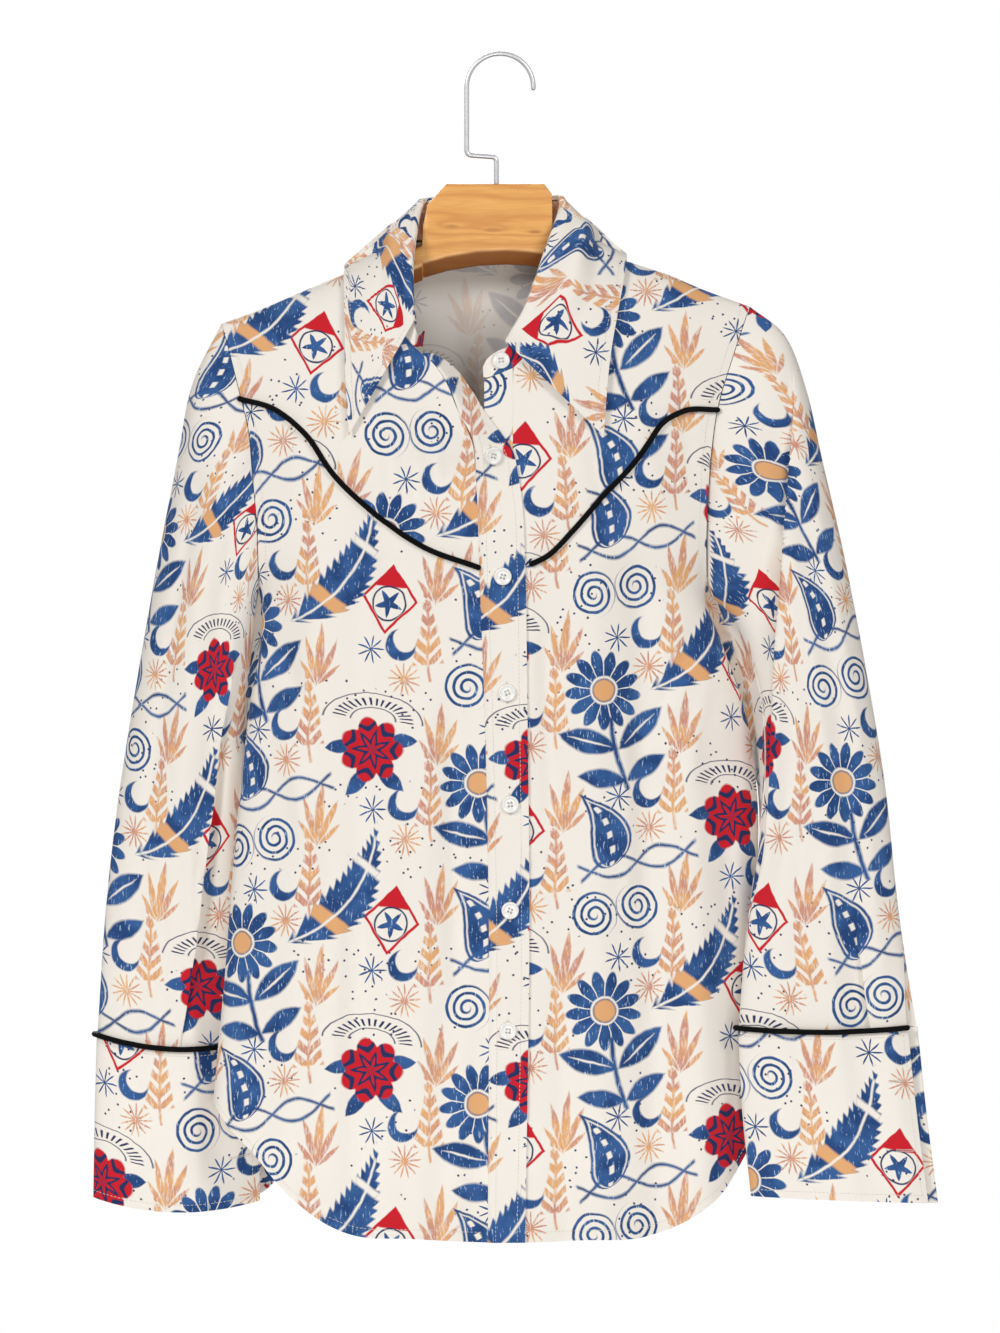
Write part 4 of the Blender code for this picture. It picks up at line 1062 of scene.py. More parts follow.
def strip_point(z: Array, share: Array, proud: float = 0.0) -> Array:
    """Points across the upper strip.

    Args:
        z: height.
        share: from the strip's seam (0) to its free edge (1).
        proud: clearance in front.

    Returns:
        The points.
    """
    seam, seam_lift, edge, edge_lift = read(STRIP, z)
    hinge = STRIP_HINGE * np.abs(seam_lift - edge_lift)
    x = mix(seam + hinge, edge, share)
    points = body(x, z, FRONT)
    raised = STRIP_LIFT * ease((x - seam + STRIP_START) / STRIP_RAMP)
    points[..., 1] -= raised + mix(seam_lift, edge_lift, share) + proud
    return points


def stand_point(share: Array, rise: Array) -> Array:
    """Points of the stand.

    Args:
        share: share along it.
        rise: from its foot (0) to its top (1).

    Returns:
        The points.
    """
    foot_x, foot_z, lift, top_x, top_y, top_z = along(STANDS, share)
    place = share * (len(STANDS) - 1)
    behind = (place > SHOULDER_LEFT) & (place < SHOULDER_RIGHT)
    foot = np.where(behind[..., None], body(foot_x, foot_z, BACK), body(foot_x, foot_z, FRONT))
    foot[..., 1] -= lift
    top = np.stack([top_x, top_y, top_z], axis=-1)
    return mix(foot, top, rise[..., None])


def stand_frame(share: Array) -> tuple[Array, Array, Array]:
    """The stand's top with its directions.

    Args:
        share: share along the stand.

    Returns:
        Its top, its upward direction and its outward direction.
    """
    step, full = STAND_NEARBY, np.ones_like(share)
    top = stand_point(share, full)
    up = top - stand_point(share, np.zeros_like(share))
    run = stand_point(share + step, full) - stand_point(share - step, full)
    return top, unit(up), unit(np.cross(run, up))


def fall_point(share: Array, down: Array) -> Array:
    """Points of the fall, which rolls over the stand and settles on the body.

    Args:
        share: share along it.
        down: from the stand's top (0) to the fall's edge (1).

    Returns:
        The points.
    """
    place = mix(FALL_FIRST, FALL_END, share)
    top, up, out = stand_frame(place / (len(STANDS) - 1))
    edge_x, edge_z, bulge = along(LEAVES, share)
    turn = math.pi * (1 - np.clip(down / ROLL_SHARE, 0, 1))[..., None]
    centre = top + up * (ROLL_SEAM + ROLL_RISE) + out * (ROLL_RADIUS - ROLL_BACK)
    roll = centre + ROLL_RADIUS * (out * np.cos(turn) + up * np.sin(turn))
    roll -= up * ROLL_RISE * (1 - ease(down / (ROLL_START * ROLL_SHARE)))[..., None]
    reach = np.clip((down - ROLL_SHARE) / (1 - ROLL_SHARE), 0, 1)
    x = mix(roll[..., 0], edge_x, reach)
    z = mix(roll[..., 2], edge_z, reach)
    right_side = place > (SHOULDER_LEFT + SHOULDER_RIGHT) / 2
    behind = (place > SHOULDER_LEFT) & (place < SHOULDER_RIGHT)
    front = np.where(right_side, right_front(x, z, FALL_CLEAR)[..., 1],
                     left_front(x, z, FALL_CLEAR)[..., 1])
    on_body = np.where(behind, back_face(x, z, FALL_CLEAR)[..., 1], front)
    foot = stand_point(place / (len(STANDS) - 1), np.zeros_like(share))
    over_foot = foot[..., 1] + np.where(behind, FALL_CLEAR, -FALL_CLEAR)
    high = np.hypot(top[..., 0] - foot[..., 0], top[..., 2] - foot[..., 2])
    deep = np.hypot(top[..., 0] - edge_x, top[..., 2] - edge_z)
    passed = reach * deep / high
    y = mix(roll[..., 1], over_foot, ease(passed))
    y = mix(y, on_body, ease((passed - 1) / FALL_SETTLE))
    y = y + np.where(behind, 1.0, -1.0) * bulge * np.sin(math.pi * reach)
    return np.stack([x, y, z], axis=-1)


class Arm:
    """One sleeve with its cuff: its sections, its folds and its slit.

    Share runs down the sleeve from 0 to 1. A turn of 0 is the section's right edge as the tables
    give it, and a quarter turn is the middle of its front.
    """

    def __init__(self, right: bool) -> None:
        """Take the tables of one side."""
        self.right, self.out, self.free = right, OUT[right], FREE_EDGE[right]
        self.drapes = [Drape(*row) for row in DRAPES[right]]

    def creases(self, share: Array, turn: Array) -> Array:
        """How far the folds along the arm push its cloth out.

        Args:
            share: share down the sleeve.
            turn: turn round it.

        Returns:
            The push, in millimetres.
        """
        across, front = np.cos(turn), np.sin(turn) >= 0
        total = np.zeros(np.broadcast(share, turn).shape)
        for drape in self.drapes:
            part = np.clip((share - drape.from_share) / (drape.to_share - drape.from_share), -1, 2)
            centre = mix(drape.top, drape.low, part)
            fade = ease((share - drape.from_share) / DRAPE_FADE) \
                * ease((drape.to_share - share) / DRAPE_FADE)
            bump = drape.swell * fade * np.exp(-((across - centre) / drape.width) ** 2)
            total = total + np.where(front == (drape.face == FRONT), bump, 0.0)
        waves = ruffle(across * SLEEVE_WIDE + np.where(front, 0, SLEEVE_APART),
                       share * SLEEVE_LONG, SLEEVE_SEEDS[self.right], SLEEVE_WAVES)
        return total * np.abs(np.sin(turn)) + RUFFLE_SLEEVE * waves * np.sin(turn) ** 2

    def ring(self, rows: Rows, share: Array, turn: Array, arm_share: Array) -> Array:
        """Points on the sections of a sleeve or a cuff.

        Args:
            rows: the sections.
            share: share down them.
            turn: turn round them; the underlap turns in past a whole turn.
            arm_share: share down the arm, for its folds.

        Returns:
            The points.
        """
        right_x, right_z, left_x, left_z, half, middle, sag = along(rows, share)
        out = np.cos(turn)
        x = (right_x + left_x) / 2 + out * (right_x - left_x) / 2
        z = (right_z + left_z) / 2 + out * (right_z - left_z) / 2
        lapped = ease((turn - TURN_ALL) / LAP_SOFT)
        reach = half - UNDERLAP_DROP * lapped
        fold = self.creases(arm_share, turn) * (1 - lapped)
        y = middle - (reach + fold) * np.sin(turn)
        z = z - sag * np.sin(turn) ** 2 * np.where(np.sin(turn) > 0, 1.0, BACK_SAG)
        return np.stack([x, y, z], axis=-1)

    def armhole_ring(self, turn: Array) -> Array:
        """Points on the armhole where a sleeve's section begins.

        Args:
            turn: turn round it.

        Returns:
            The points.
        """
        armhole = ARMHOLE[self.right]
        z = mix(armhole[0][0], armhole[-1][0], (1 + self.out * np.cos(turn)) / 2)
        in_front = np.sin(turn) >= 0
        x = np.where(in_front, side_seam(z + 1e-6, self.right), back_seam(z + 1e-6, self.right))
        points = np.where(in_front[..., None], body(x, z, FRONT), body(x, z, BACK))
        points[..., 0] += self.out * ARMHOLE_SEAM
        return points

    def plain(self, share: Array, turn: Array) -> Array:
        """Points of the sleeve without its step and spare cloth, joined to the armhole.

        Args:
            share: share down the sleeve.
            turn: turn round it.

        Returns:
            The points.
        """
        none, rows = np.zeros_like(share), SLEEVE[self.right]
        start = self.armhole_ring(turn) - self.ring(rows, none, turn, none)
        fade = 1 - ease(share / CAP_FADE)
        return self.ring(rows, share, turn, share) + start * fade[..., None]

    def lapped(self, points: Array, turn: Array) -> Array:
        """Lay the front of the sleeve over its inner part along each step.

        Args:
            points: plain points of the sleeve.
            turn: turn of each.

        Returns:
            The moved points.
        """
        front = np.sqrt(np.clip(np.sin(turn), 0, 1))
        points = points.copy()
        for rows in STEPS[self.right]:
            line, deep = read(rows, points[..., 2])
            past = (points[..., 0] - line) * self.out
            part = np.clip(past / STEP_WIDE, 0, 1)
            under = deep * np.exp(np.minimum(past, 0) / STEP_REACH)
            points[..., 1] += front * under * (1 - ease((part - STEP_LEAVES) / STEP_SOFT))
            over = STEP_OVER * np.minimum(deep / STEP_FULL, 1) * np.sin(TURN_ALL * part)
            points[..., 0] += self.out * front * over
        return points

    def sleeve(self, share: Array, turn: Array) -> Array:
        """Points of the sleeve, its spare cloth under the arm drawn behind the body's side.

        Args:
            share: share down the sleeve.
            turn: turn round it.

        Returns:
            The points.
        """
        share, turn = np.broadcast_arrays(share, turn)
        points = self.lapped(self.plain(share, turn), turn)
        rim = self.plain(share, np.full_like(turn, 0.0 if self.right else math.pi))
        gap = (rim[..., 0] - body_edge(rim[..., 2], self.right)) * self.out
        inner = (TURN_ALL - turn) if self.right else (turn - math.pi)
        drawn = ease((inner - SPARE_FROM) / SPARE_RISE) * ease((SPARE_TO - inner) / SPARE_FALL)
        drawn = drawn * ease((gap + SPARE_INSIDE) / SPARE_SOFT) * ease(share / SPARE_CAP)
        edge = body_edge(points[..., 2], self.right)
        points[..., 1] += drawn * SPARE_BACK[self.right]
        surface = body(edge - self.out * SPARE_INSIDE, points[..., 2], BACK)[..., 1]
        past_back = points[..., 1] - surface
        tucked = mix(-SPARE_BESIDE, SPARE_BEHIND, ease((past_back - TUCK_FROM) / SPARE_SOFT))
        points[..., 0] = mix(points[..., 0], edge - self.out * tucked, drawn)
        return points

    def cuff_point(self, down: Array, turn: Array) -> Array:
        """Points of the cuff.

        Args:
            down: share from the sleeve's end down.
            turn: turn round it.

        Returns:
            The points.
        """
        down, turn = np.broadcast_arrays(down, turn)
        points = self.ring(CUFF[self.right], down, turn, 1 + down * CUFF_SHARE)
        if self.right:
            points[..., 2] += UNDERLAP_RISE * down ** 2 * ease((turn - UNDERLAP_FROM) / LAP_RISE)
        return points

    def crossings(self, share: float) -> list[tuple[float, float]]:
        """Find where a row of the sleeve crosses its steps.

        Args:
            share: share down the sleeve.

        Returns:
            The turn of each crossing, and how deep the step is there.
        """
        turn = np.linspace(FRONT_INSET, math.pi - FRONT_INSET, 240)
        points = self.plain(np.full_like(turn, share), turn)
        found = []
        for rows in STEPS[self.right]:
            line, deep = read(rows, points[..., 2])
            crossing = np.interp(0.0, (points[..., 0] - line)[::-1], turn[::-1])
            found.append((float(crossing), float(np.interp(crossing, turn, deep))))
        return found

    def turns(self, share: float, columns: int) -> Array:
        """Turns of one row: closer together at a step, opened where it passes the slit.

        The column a quarter of the way along stays in the middle of the front.

        Args:
            share: share down the sleeve.
            columns: how many turns.

        Returns:
            The turns.
        """
        opened = ease((share - (1 - SLIT_LENGTH)) / SLIT_LENGTH)
        fine = np.linspace(opened * self.free, TURN_ALL + opened * SLEEVE_TURN_IN, FINE_TURNS)
        close = np.ones_like(fine)
        for step, deep in self.crossings(share):
            near = np.exp(-((fine - step) / STEP_NEAR) ** 2)
            close += STEP_CLOSE * min(deep / STEP_DEEP, 1) * near
        passed = np.cumsum(close)
        passed = (passed - passed[0]) / (passed[-1] - passed[0])
        marks = np.interp(np.arange(columns), (0, columns // 4, columns - 1),
                          (0, np.interp(math.pi / 2, fine, passed), 1))
        return np.interp(marks, passed, fine)


# --- cloth ----------------------------------------------------------------

class Laid(Enum):
    """How a piece's cut lies on the printed roll."""

    UPRIGHT = "the print stands as the wearer does"
    LENGTHWAYS = "the print follows the piece's rows and columns"


class Cut(NamedTuple):
    """Flat cut of what shows of a sheet, in metres, and how it is held."""

    width: float
    length: float
    area: float
    rests_on: tuple[str, ...]
    held: str = "hung"


CUTS = {
    "yoke_right": Cut(0.180, 0.245, 0.0225, ("hanger",)),
    "yoke_left": Cut(0.166, 0.254, 0.0228, ("hanger",)),
    "front_right": Cut(0.207, 0.597, 0.0940, ("yoke_right",)),
    "front_left": Cut(0.189, 0.588, 0.0912, ("yoke_left",)),
    "back": Cut(0.408, 0.717, 0.2507, ("hanger",)),
    "placket_upper": Cut(0.030, 0.640, 0.0179, ("front_right",)),
    "placket_lower": Cut(0.016, 0.611, 0.0093, ("front_left",)),
    "sleeve_right": Cut(0.402, 0.511, 0.1005, ("yoke_right", "back")),
    "sleeve_left": Cut(0.434, 0.530, 0.1161, ("yoke_left", "back")),
    "cuff_right": Cut(0.303, 0.115, 0.0330, ("sleeve_right",)),
    "cuff_left": Cut(0.304, 0.124, 0.0357, ("sleeve_left",)),
    "collar_stand": Cut(0.385, 0.029, 0.0064, ("back", "yoke_right", "yoke_left"), "folded"),
    "collar_fall": Cut(0.525, 0.107, 0.0275, ("collar_stand",), "folded"),
}


@dataclass
class Dressing:
    """Finishes of the shirt and its hanger."""

    face: Material
    behind: Material
    piping: Material
    thread: Material
    button: Material
    wood: Material
    steel: Material


def linked(name: str, data: bpy.types.ID) -> Object:
    """New object in the scene.

    Args:
        name: the object's name.
        data: its mesh, lamp or camera.

    Returns:
        The object.
    """
    made = bpy.data.objects.new(name, data)
    bpy.context.scene.collection.objects.link(made)
    return made


def settle(piece: Object, node: str | None) -> None:
    """Let a piece ride on the shirt's one body.

    Args:
        piece: the finished piece.
        node: the node that it stands for, if any.
    """
    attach(piece, "root")
    if node:
        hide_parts(node)
    LOG.info("%s: %d faces", piece.name, len(piece.data.polygons))


def place_piece(name: str, mesh: Mesh, materials: Sequence[Material], node: str | None) -> None:
    """Make the object of a finished mesh, dressed and riding on the shirt.

    Args:
        name: the piece's name.
        mesh: its mesh.
        materials: its finishes.
        node: the node that it stands for, if any.
    """
    made = linked(name, mesh)
    mesh.materials.clear()
    for material in materials:
        mesh.materials.append(material)
    settle(made, node)


def mesh_of(name: str, points: Array, faces: Array, uv: Array | None = None) -> Mesh:
    """Make a smooth mesh.

    Args:
        name: its name.
        points: points in metres.
        faces: numbers of the points, with equally many corners a face.
        uv: the map's place at each corner.

    Returns:
        The mesh.
    """
    mesh = bpy.data.meshes.new(name)
    count, corners = faces.shape
    mesh.vertices.add(len(points))
    mesh.vertices.foreach_set("co", points.astype(np.float32).ravel())
    mesh.loops.add(count * corners)
    mesh.loops.foreach_set("vertex_index", faces.astype(np.int32).ravel())
    mesh.polygons.add(count)
    mesh.polygons.foreach_set("loop_start", np.arange(0, count * corners, corners, dtype=np.int32))
    if uv is not None:
        layer = mesh.uv_layers.new(name="cloth")
        layer.data.foreach_set("uv", uv.astype(np.float32).ravel())
    mesh.update(calc_edges=True)
    mesh.validate()
    mesh.shade_smooth()
    return mesh


def place_on_roll(grid: Array, laid: Laid, anchor: int, mirrored: bool) -> Array:
    """Where each point of a sheet lies on the flat cloth, in millimetres.

    Args:
        grid: rows by columns of points.
        laid: whether the print stands upright or follows the grid.
        anchor: the column that stays straight.
        mirrored: the grid's columns run against the print's direction.

    Returns:
        Rows by columns of places.
    """
    over, down = np.diff(grid, axis=1), np.diff(grid, axis=0)
    if laid is Laid.UPRIGHT:
        wide = np.hypot(over[..., 0], over[..., 1]) - np.abs(over[..., 0])
        wide = wide * np.sign(over[..., 0])
        high = np.hypot(down[..., 1], down[..., 2]) - np.abs(down[..., 2])
        base_u, base_v = grid[..., 0], grid[..., 2]
    else:
        wide, high = np.linalg.norm(over, axis=-1), np.linalg.norm(down, axis=-1)
        base_u = base_v = np.zeros(grid.shape[:2])
    u = np.pad(np.cumsum(wide, axis=1), ((0, 0), (1, 0)))
    u = base_u + u - u[:, anchor][:, None]
    v = np.pad(np.cumsum(high[::-1], axis=0)[::-1], ((0, 1), (0, 0)))
    return np.stack([-u if mirrored else u, base_v + v], axis=-1)


@dataclass
class Cloth:
    """Sheet of cloth with its wall, made from a grid on its outer face."""

    node: str
    grid: Array
    wall: float = 0.8
    joined_rows: int = 0
    flip: bool = False
    laid: Laid = Laid.UPRIGHT
    anchor: int = -1
    mirrored: bool = False
    roll: tuple[float, float, float] = (0.0, 0.0, 0.0)
    doubled: bool = False
    places: Array | None = None
    sharp: float = 62

    def mesh(self, name: str) -> Mesh:
        """Close the sheet: outer face, inner face and rim, with its place on the roll.

        Args:
            name: the mesh's name.

        Returns:
            The mesh.
        """
        rows, columns = self.grid.shape[:2]
        number = np.arange(rows * columns).reshape(rows, columns)
        number[:self.joined_rows, -1] = number[:self.joined_rows, 0]
        used, packed = np.unique(number, return_inverse=True)
        number = packed.reshape(rows, columns)
        points = self.grid.reshape(-1, 3)[used] * MM
        roll = self.places if self.places is not None \
            else place_on_roll(self.grid, self.laid, self.anchor, self.mirrored)
        roll = roll * MM
        c, s = math.cos(self.roll[2]), math.sin(self.roll[2])
        roll = roll @ np.array([[c, s], [-s, c]]) + np.array(self.roll[:2])
        quads, spots = (np.stack([a[:-1, :-1], a[:-1, 1:], a[1:, 1:], a[1:, :-1]], axis=2)
                        for a in (number, roll))
        quads, spots = quads.reshape(-1, 4), spots.reshape(-1, 4, 2)
        if self.flip:
            quads, spots = quads[:, ::-1], spots[:, ::-1]
        facing = np.cross(points[quads[:, 2]] - points[quads[:, 0]],
                          points[quads[:, 3]] - points[quads[:, 1]])
        normals = np.zeros_like(points)
        for corner in range(4):
            np.add.at(normals, quads[:, corner], facing)
        total = len(points)
        points = np.concatenate([points, points - unit(normals * 1e6) * self.wall * MM])
        ends, end_spots = np.roll(quads, -1, axis=1), np.roll(spots, -1, axis=1)
        free = ~np.isin(quads * total + ends, ends * total + quads)
        a, b, at_a, at_b = quads[free], ends[free], spots[free], end_spots[free]
        faces = np.concatenate([quads, quads[:, ::-1] + total,
                                np.stack([b, a, a + total, b + total], axis=1)])
        uv = np.concatenate([spots, spots[:, ::-1], np.stack([at_b, at_a, at_a, at_b], axis=1)])
        mesh = mesh_of(name, points, faces, uv)
        slots = np.zeros(len(faces), int)
        if not self.doubled:
            slots[len(quads):2 * len(quads)] = 1
        mesh.polygons.foreach_set("material_index", slots)
        mesh.set_sharp_from_angle(angle=math.radians(self.sharp))
        return mesh

    def build(self, dressing: Dressing) -> None:
        """Make the piece, dress it and let it ride on the shirt's body.

        Args:
            dressing: the finishes.
        """
        name, cut = f"{self.node}_cloth", CUTS[self.node]
        made = linked(name, self.mesh(name))
        made.data.materials.append(dressing.face)
        made.data.materials.append(dressing.face if self.doubled else dressing.behind)
        settle(made, self.node)


# --- pieces of the shirt --------------------------------------------------

def across_edge(table: Rows, start: float, end: float, shift: float = 0.0) -> Line:
    """Edge that runs across at a table's height.

    Args:
        table: heights by distance across.
        start: distance across at its start.
        end: distance across at its end.
        shift: height added.

    Returns:
        The edge's places, from shares of it.
    """
    def line(share: Array) -> Array:
        """Places along the edge."""
        x = mix(start, end, share)
        return places(x, read(table, x)[0] + shift)
    return line


def down_edge(seam: Callable, right: bool, start: float, end: float) -> Line:
    """Edge that runs down a seam.

    Args:
        seam: distance across of the seam, from height and side.
        right: the wearer's right side.
        start: height of its start.
        end: height of its end.

    Returns:
        The edge's places, from shares of it.
    """
    def line(share: Array) -> Array:
        """Places along the edge."""
        z = mix(start, end, share)
        return places(seam(z, right), z)
    return line


@dataclass
class Lines:
    """Lines of stitching, each with the direction in which its stitches lie."""

    points: list[Array] = field(default_factory=list)
    lays: list[Array] = field(default_factory=list)

    def run(self, points: Array) -> None:
        """Add a line whose stitches lie along it."""
        self.points.append(points)
        self.lays.append(unit(np.gradient(points, axis=0)))

    def barred(self, points: Array, lay: Array) -> None:
        """Add a line whose stitches all lie one way across it."""
        self.points.append(points)
        self.lays.append(np.broadcast_to(unit(lay), points.shape))


@dataclass
class Body:
    """Yokes, fronts, back and the two buttoned strips."""

    strip_wall: float = 1.3
    stitch_in: float = 5.5
    strip_least: float = 12.0
    strip_ends: tuple[float, float] = (12.0, 2.0)
    hem_in: float = 7.0
    hem_start: float = 0.985
    hem_back: tuple[float, float] = (-196, 172)
    armhole_in: float = 4.0
    shoulder_in: float = 3.0
    proud: float = 0.12

    def panel(self, node: str, form: Callable, edges: tuple[Line, Line, Line, Line],
              count: tuple[int, int], crowd: float, **how: object) -> Cloth:
        """Sheet of cloth between four edges on one form.

        Args:
            node: the node that it stands for.
            form: the form it lies on.
            edges: its top, low, outer and inner edge.
            count: how many columns and rows.
            crowd: power that crowds the rows towards the top.
            how: more about the cloth.

        Returns:
            The sheet.
        """
        grid = patch(edges, rounded_shares(count[0]), np.linspace(0, 1, count[1]) ** crowd)
        return Cloth(node, form(grid[..., 0], grid[..., 1]), **how)

    def yoke(self, right: bool) -> Cloth:
        """Front yoke, from the shoulder seam to the piped seam.

        Args:
            right: the wearer's right one.

        Returns:
            The sheet.
        """
        (outer_x, outer_z), (inner_x, inner_z) = yoke_ends(right)
        neck, (high, shoulder) = neckline(right), ARMHOLE[right][-1]

        def inner(share: Array) -> Array:
            """Places down the neck and on down the strip's seam.

            Args:
                share: shares of the edge.

            Returns:
                The places.
            """
            z = np.linspace(neck[-1, 1], inner_z + SEAM, 12)
            seam = places(inner_seam(z, right), z)
            seam[0] = neck[-1]
            first = chain(neck, np.clip(share / NECK_SHARE, 0, 1))
            second = chain(seam, np.clip((share - NECK_SHARE) / (1 - NECK_SHARE), 0, 1))
            return np.where((share <= NECK_SHARE)[:, None], first, second)

        edges = (across_edge(SHOULDERS, shoulder, neck[0, 0]),
                 across_edge(YOKE[right], outer_x, inner_x, SEAM),
                 down_edge(side_seam, right, high, outer_z + SEAM), inner)
        return self.panel(f"yoke_{SIDE[right]}", FRONTS[right], edges, (72, 96), 1.35, flip=right,
                          roll=(0.031, 0.055, 0.1) if right else (0.101, 0.013, -0.08))

    def front(self, right: bool) -> Cloth:
        """Lower front panel, from the piped seam to the hem.

        Args:
            right: the wearer's right one.

        Returns:
            The sheet.
        """
        (outer_x, outer_z), (inner_x, inner_z) = yoke_ends(right)
        corner, foot = HEM_END[right], inner_seam(np.array(HEM_LOW), right)
        edges = (across_edge(YOKE[right], outer_x, inner_x, -SEAM),
                 across_edge(HEM, side_seam(np.array(float(corner)), right), foot),
                 down_edge(side_seam, right, outer_z - SEAM, corner),
                 down_edge(inner_seam, right, inner_z - SEAM, float(read(HEM, foot)[0])))
        return self.panel(f"front_{SIDE[right]}", FRONTS[right], edges, (84, 210), 1.0,
                          flip=right, roll=(0.0, 0.0, 0.0) if right else (0.083, 0.047, 0.0))

    def back(self) -> Cloth:
        """Back in one piece, from the shoulder seams and neck to the hem."""
        neck_right, neck_left = STANDS[SHOULDER_RIGHT][0], STANDS[SHOULDER_LEFT][0]

        def top(share: Array) -> Array:
            """Places along the shoulders and the neck.

            Args:
                share: shares of the edge.

            Returns:
                The places.
            """
            x = mix(ARMHOLE[True][-1][1], ARMHOLE[False][-1][1], share)
            shoulder = read(SHOULDERS, x)[0]
            at_neck = (x > neck_right) & (x < neck_left)
            return places(x, np.where(at_neck, np.minimum(back_neck(x), shoulder), shoulder))

        hem = (side_seam(np.array(float(HEM_END[right])), right) for right in (True, False))
        sides = (down_edge(back_seam, right, ARMHOLE[right][-1][0], HEM_END[right])
                 for right in (True, False))
        return self.panel("back", back_face, (top, across_edge(HEM, *hem), *sides), (150, 240),
                          1.2, anchor=75, mirrored=True, roll=(0.02, 0.09, 0.0))

    def strips(self) -> list[Cloth]:
        """The upper strip with the buttonholes and the lower strip beneath it."""
        yoke_low = YOKE[True][-1][1]
        z = np.concatenate([np.linspace(NECK_RIGHT - STRIP_TOP_GAP, yoke_low, 90)[:-1],
                            np.linspace(yoke_low, HEM_LOW, 190)])[:, None]
        z, share = np.broadcast_arrays(z, np.linspace(0, 1, 13)[None, :])
        upper = Cloth("placket_upper", strip_point(z, share), self.strip_wall, flip=True,
                      anchor=0, roll=(0.055, 0.12, 0.0), doubled=True)
        share = np.linspace(0, 1, 9)
        top = mix(NECK_LEFT, neckline(False)[-1, 1], share)[None, :] - SEAM
        z = mix(top, HEM_LOW, np.linspace(0, 1, 260)[:, None])
        edge = mix(LOWER_TOP, LOWER_FOOT, ease((NECK_LEFT - LOWER_DROP - z) / LOWER_FADE))
        points = left_front(mix(edge, LOWER_SEAM - SEAM, share), z)
        return [upper, Cloth("placket_lower", points, self.strip_wall, flip=True,
                             roll=(0.02, 0.02, 0.0), doubled=True)]

    def stitches(self, lines: Lines) -> None:
        """Stitch the strip, the hem and the armholes.

        Args:
            lines: the lines to add to.
        """
        z = np.linspace(NECK_RIGHT - self.strip_ends[0], HEM_LOW + self.strip_ends[1], 260)
        seam, _, edge, _ = read(STRIP, z)
        inset = self.stitch_in / np.maximum(edge - seam, self.strip_least)
        for share in (inset, 1 - inset):
            lines.run(strip_point(z, share, self.proud))
        for right in (True, False):
            corner, armhole = HEM_END[right], ARMHOLE[right]
            start = float(side_seam(np.array(float(corner)), right)) * self.hem_start
            self.hem(lines, FRONTS[right], np.linspace(start, HEM_STITCHED[right], 110))
            z = np.linspace(armhole[-1][0] - self.armhole_in, armhole[0][0] + self.armhole_in, 90)
            for form, seam_line in ((FRONTS[right], side_seam), (back_face, back_seam)):
                x = seam_line(z, right) - OUT[right] * self.stitch_in
                high = np.minimum(z, read(SHOULDERS, x)[0] - self.shoulder_in)
                lines.run(moved_out(form, x, high, self.proud))
        self.hem(lines, back_face, np.linspace(*self.hem_back, 200))

    def hem(self, lines: Lines, form: Callable, x: Array) -> None:
        """Stitch along the hem of one form."""
        lines.run(moved_out(form, x, read(HEM, x)[0] + self.hem_in, self.proud))

    def build(self, dressing: Dressing, lines: Lines) -> None:
        """Make every piece of the body.

        Args:
            dressing: the finishes.
            lines: the stitching to add to.
        """
        for piece in (self.yoke(True), self.yoke(False), self.front(True), self.front(False),
                      self.back(), *self.strips()):
            piece.build(dressing)
        self.stitches(lines)


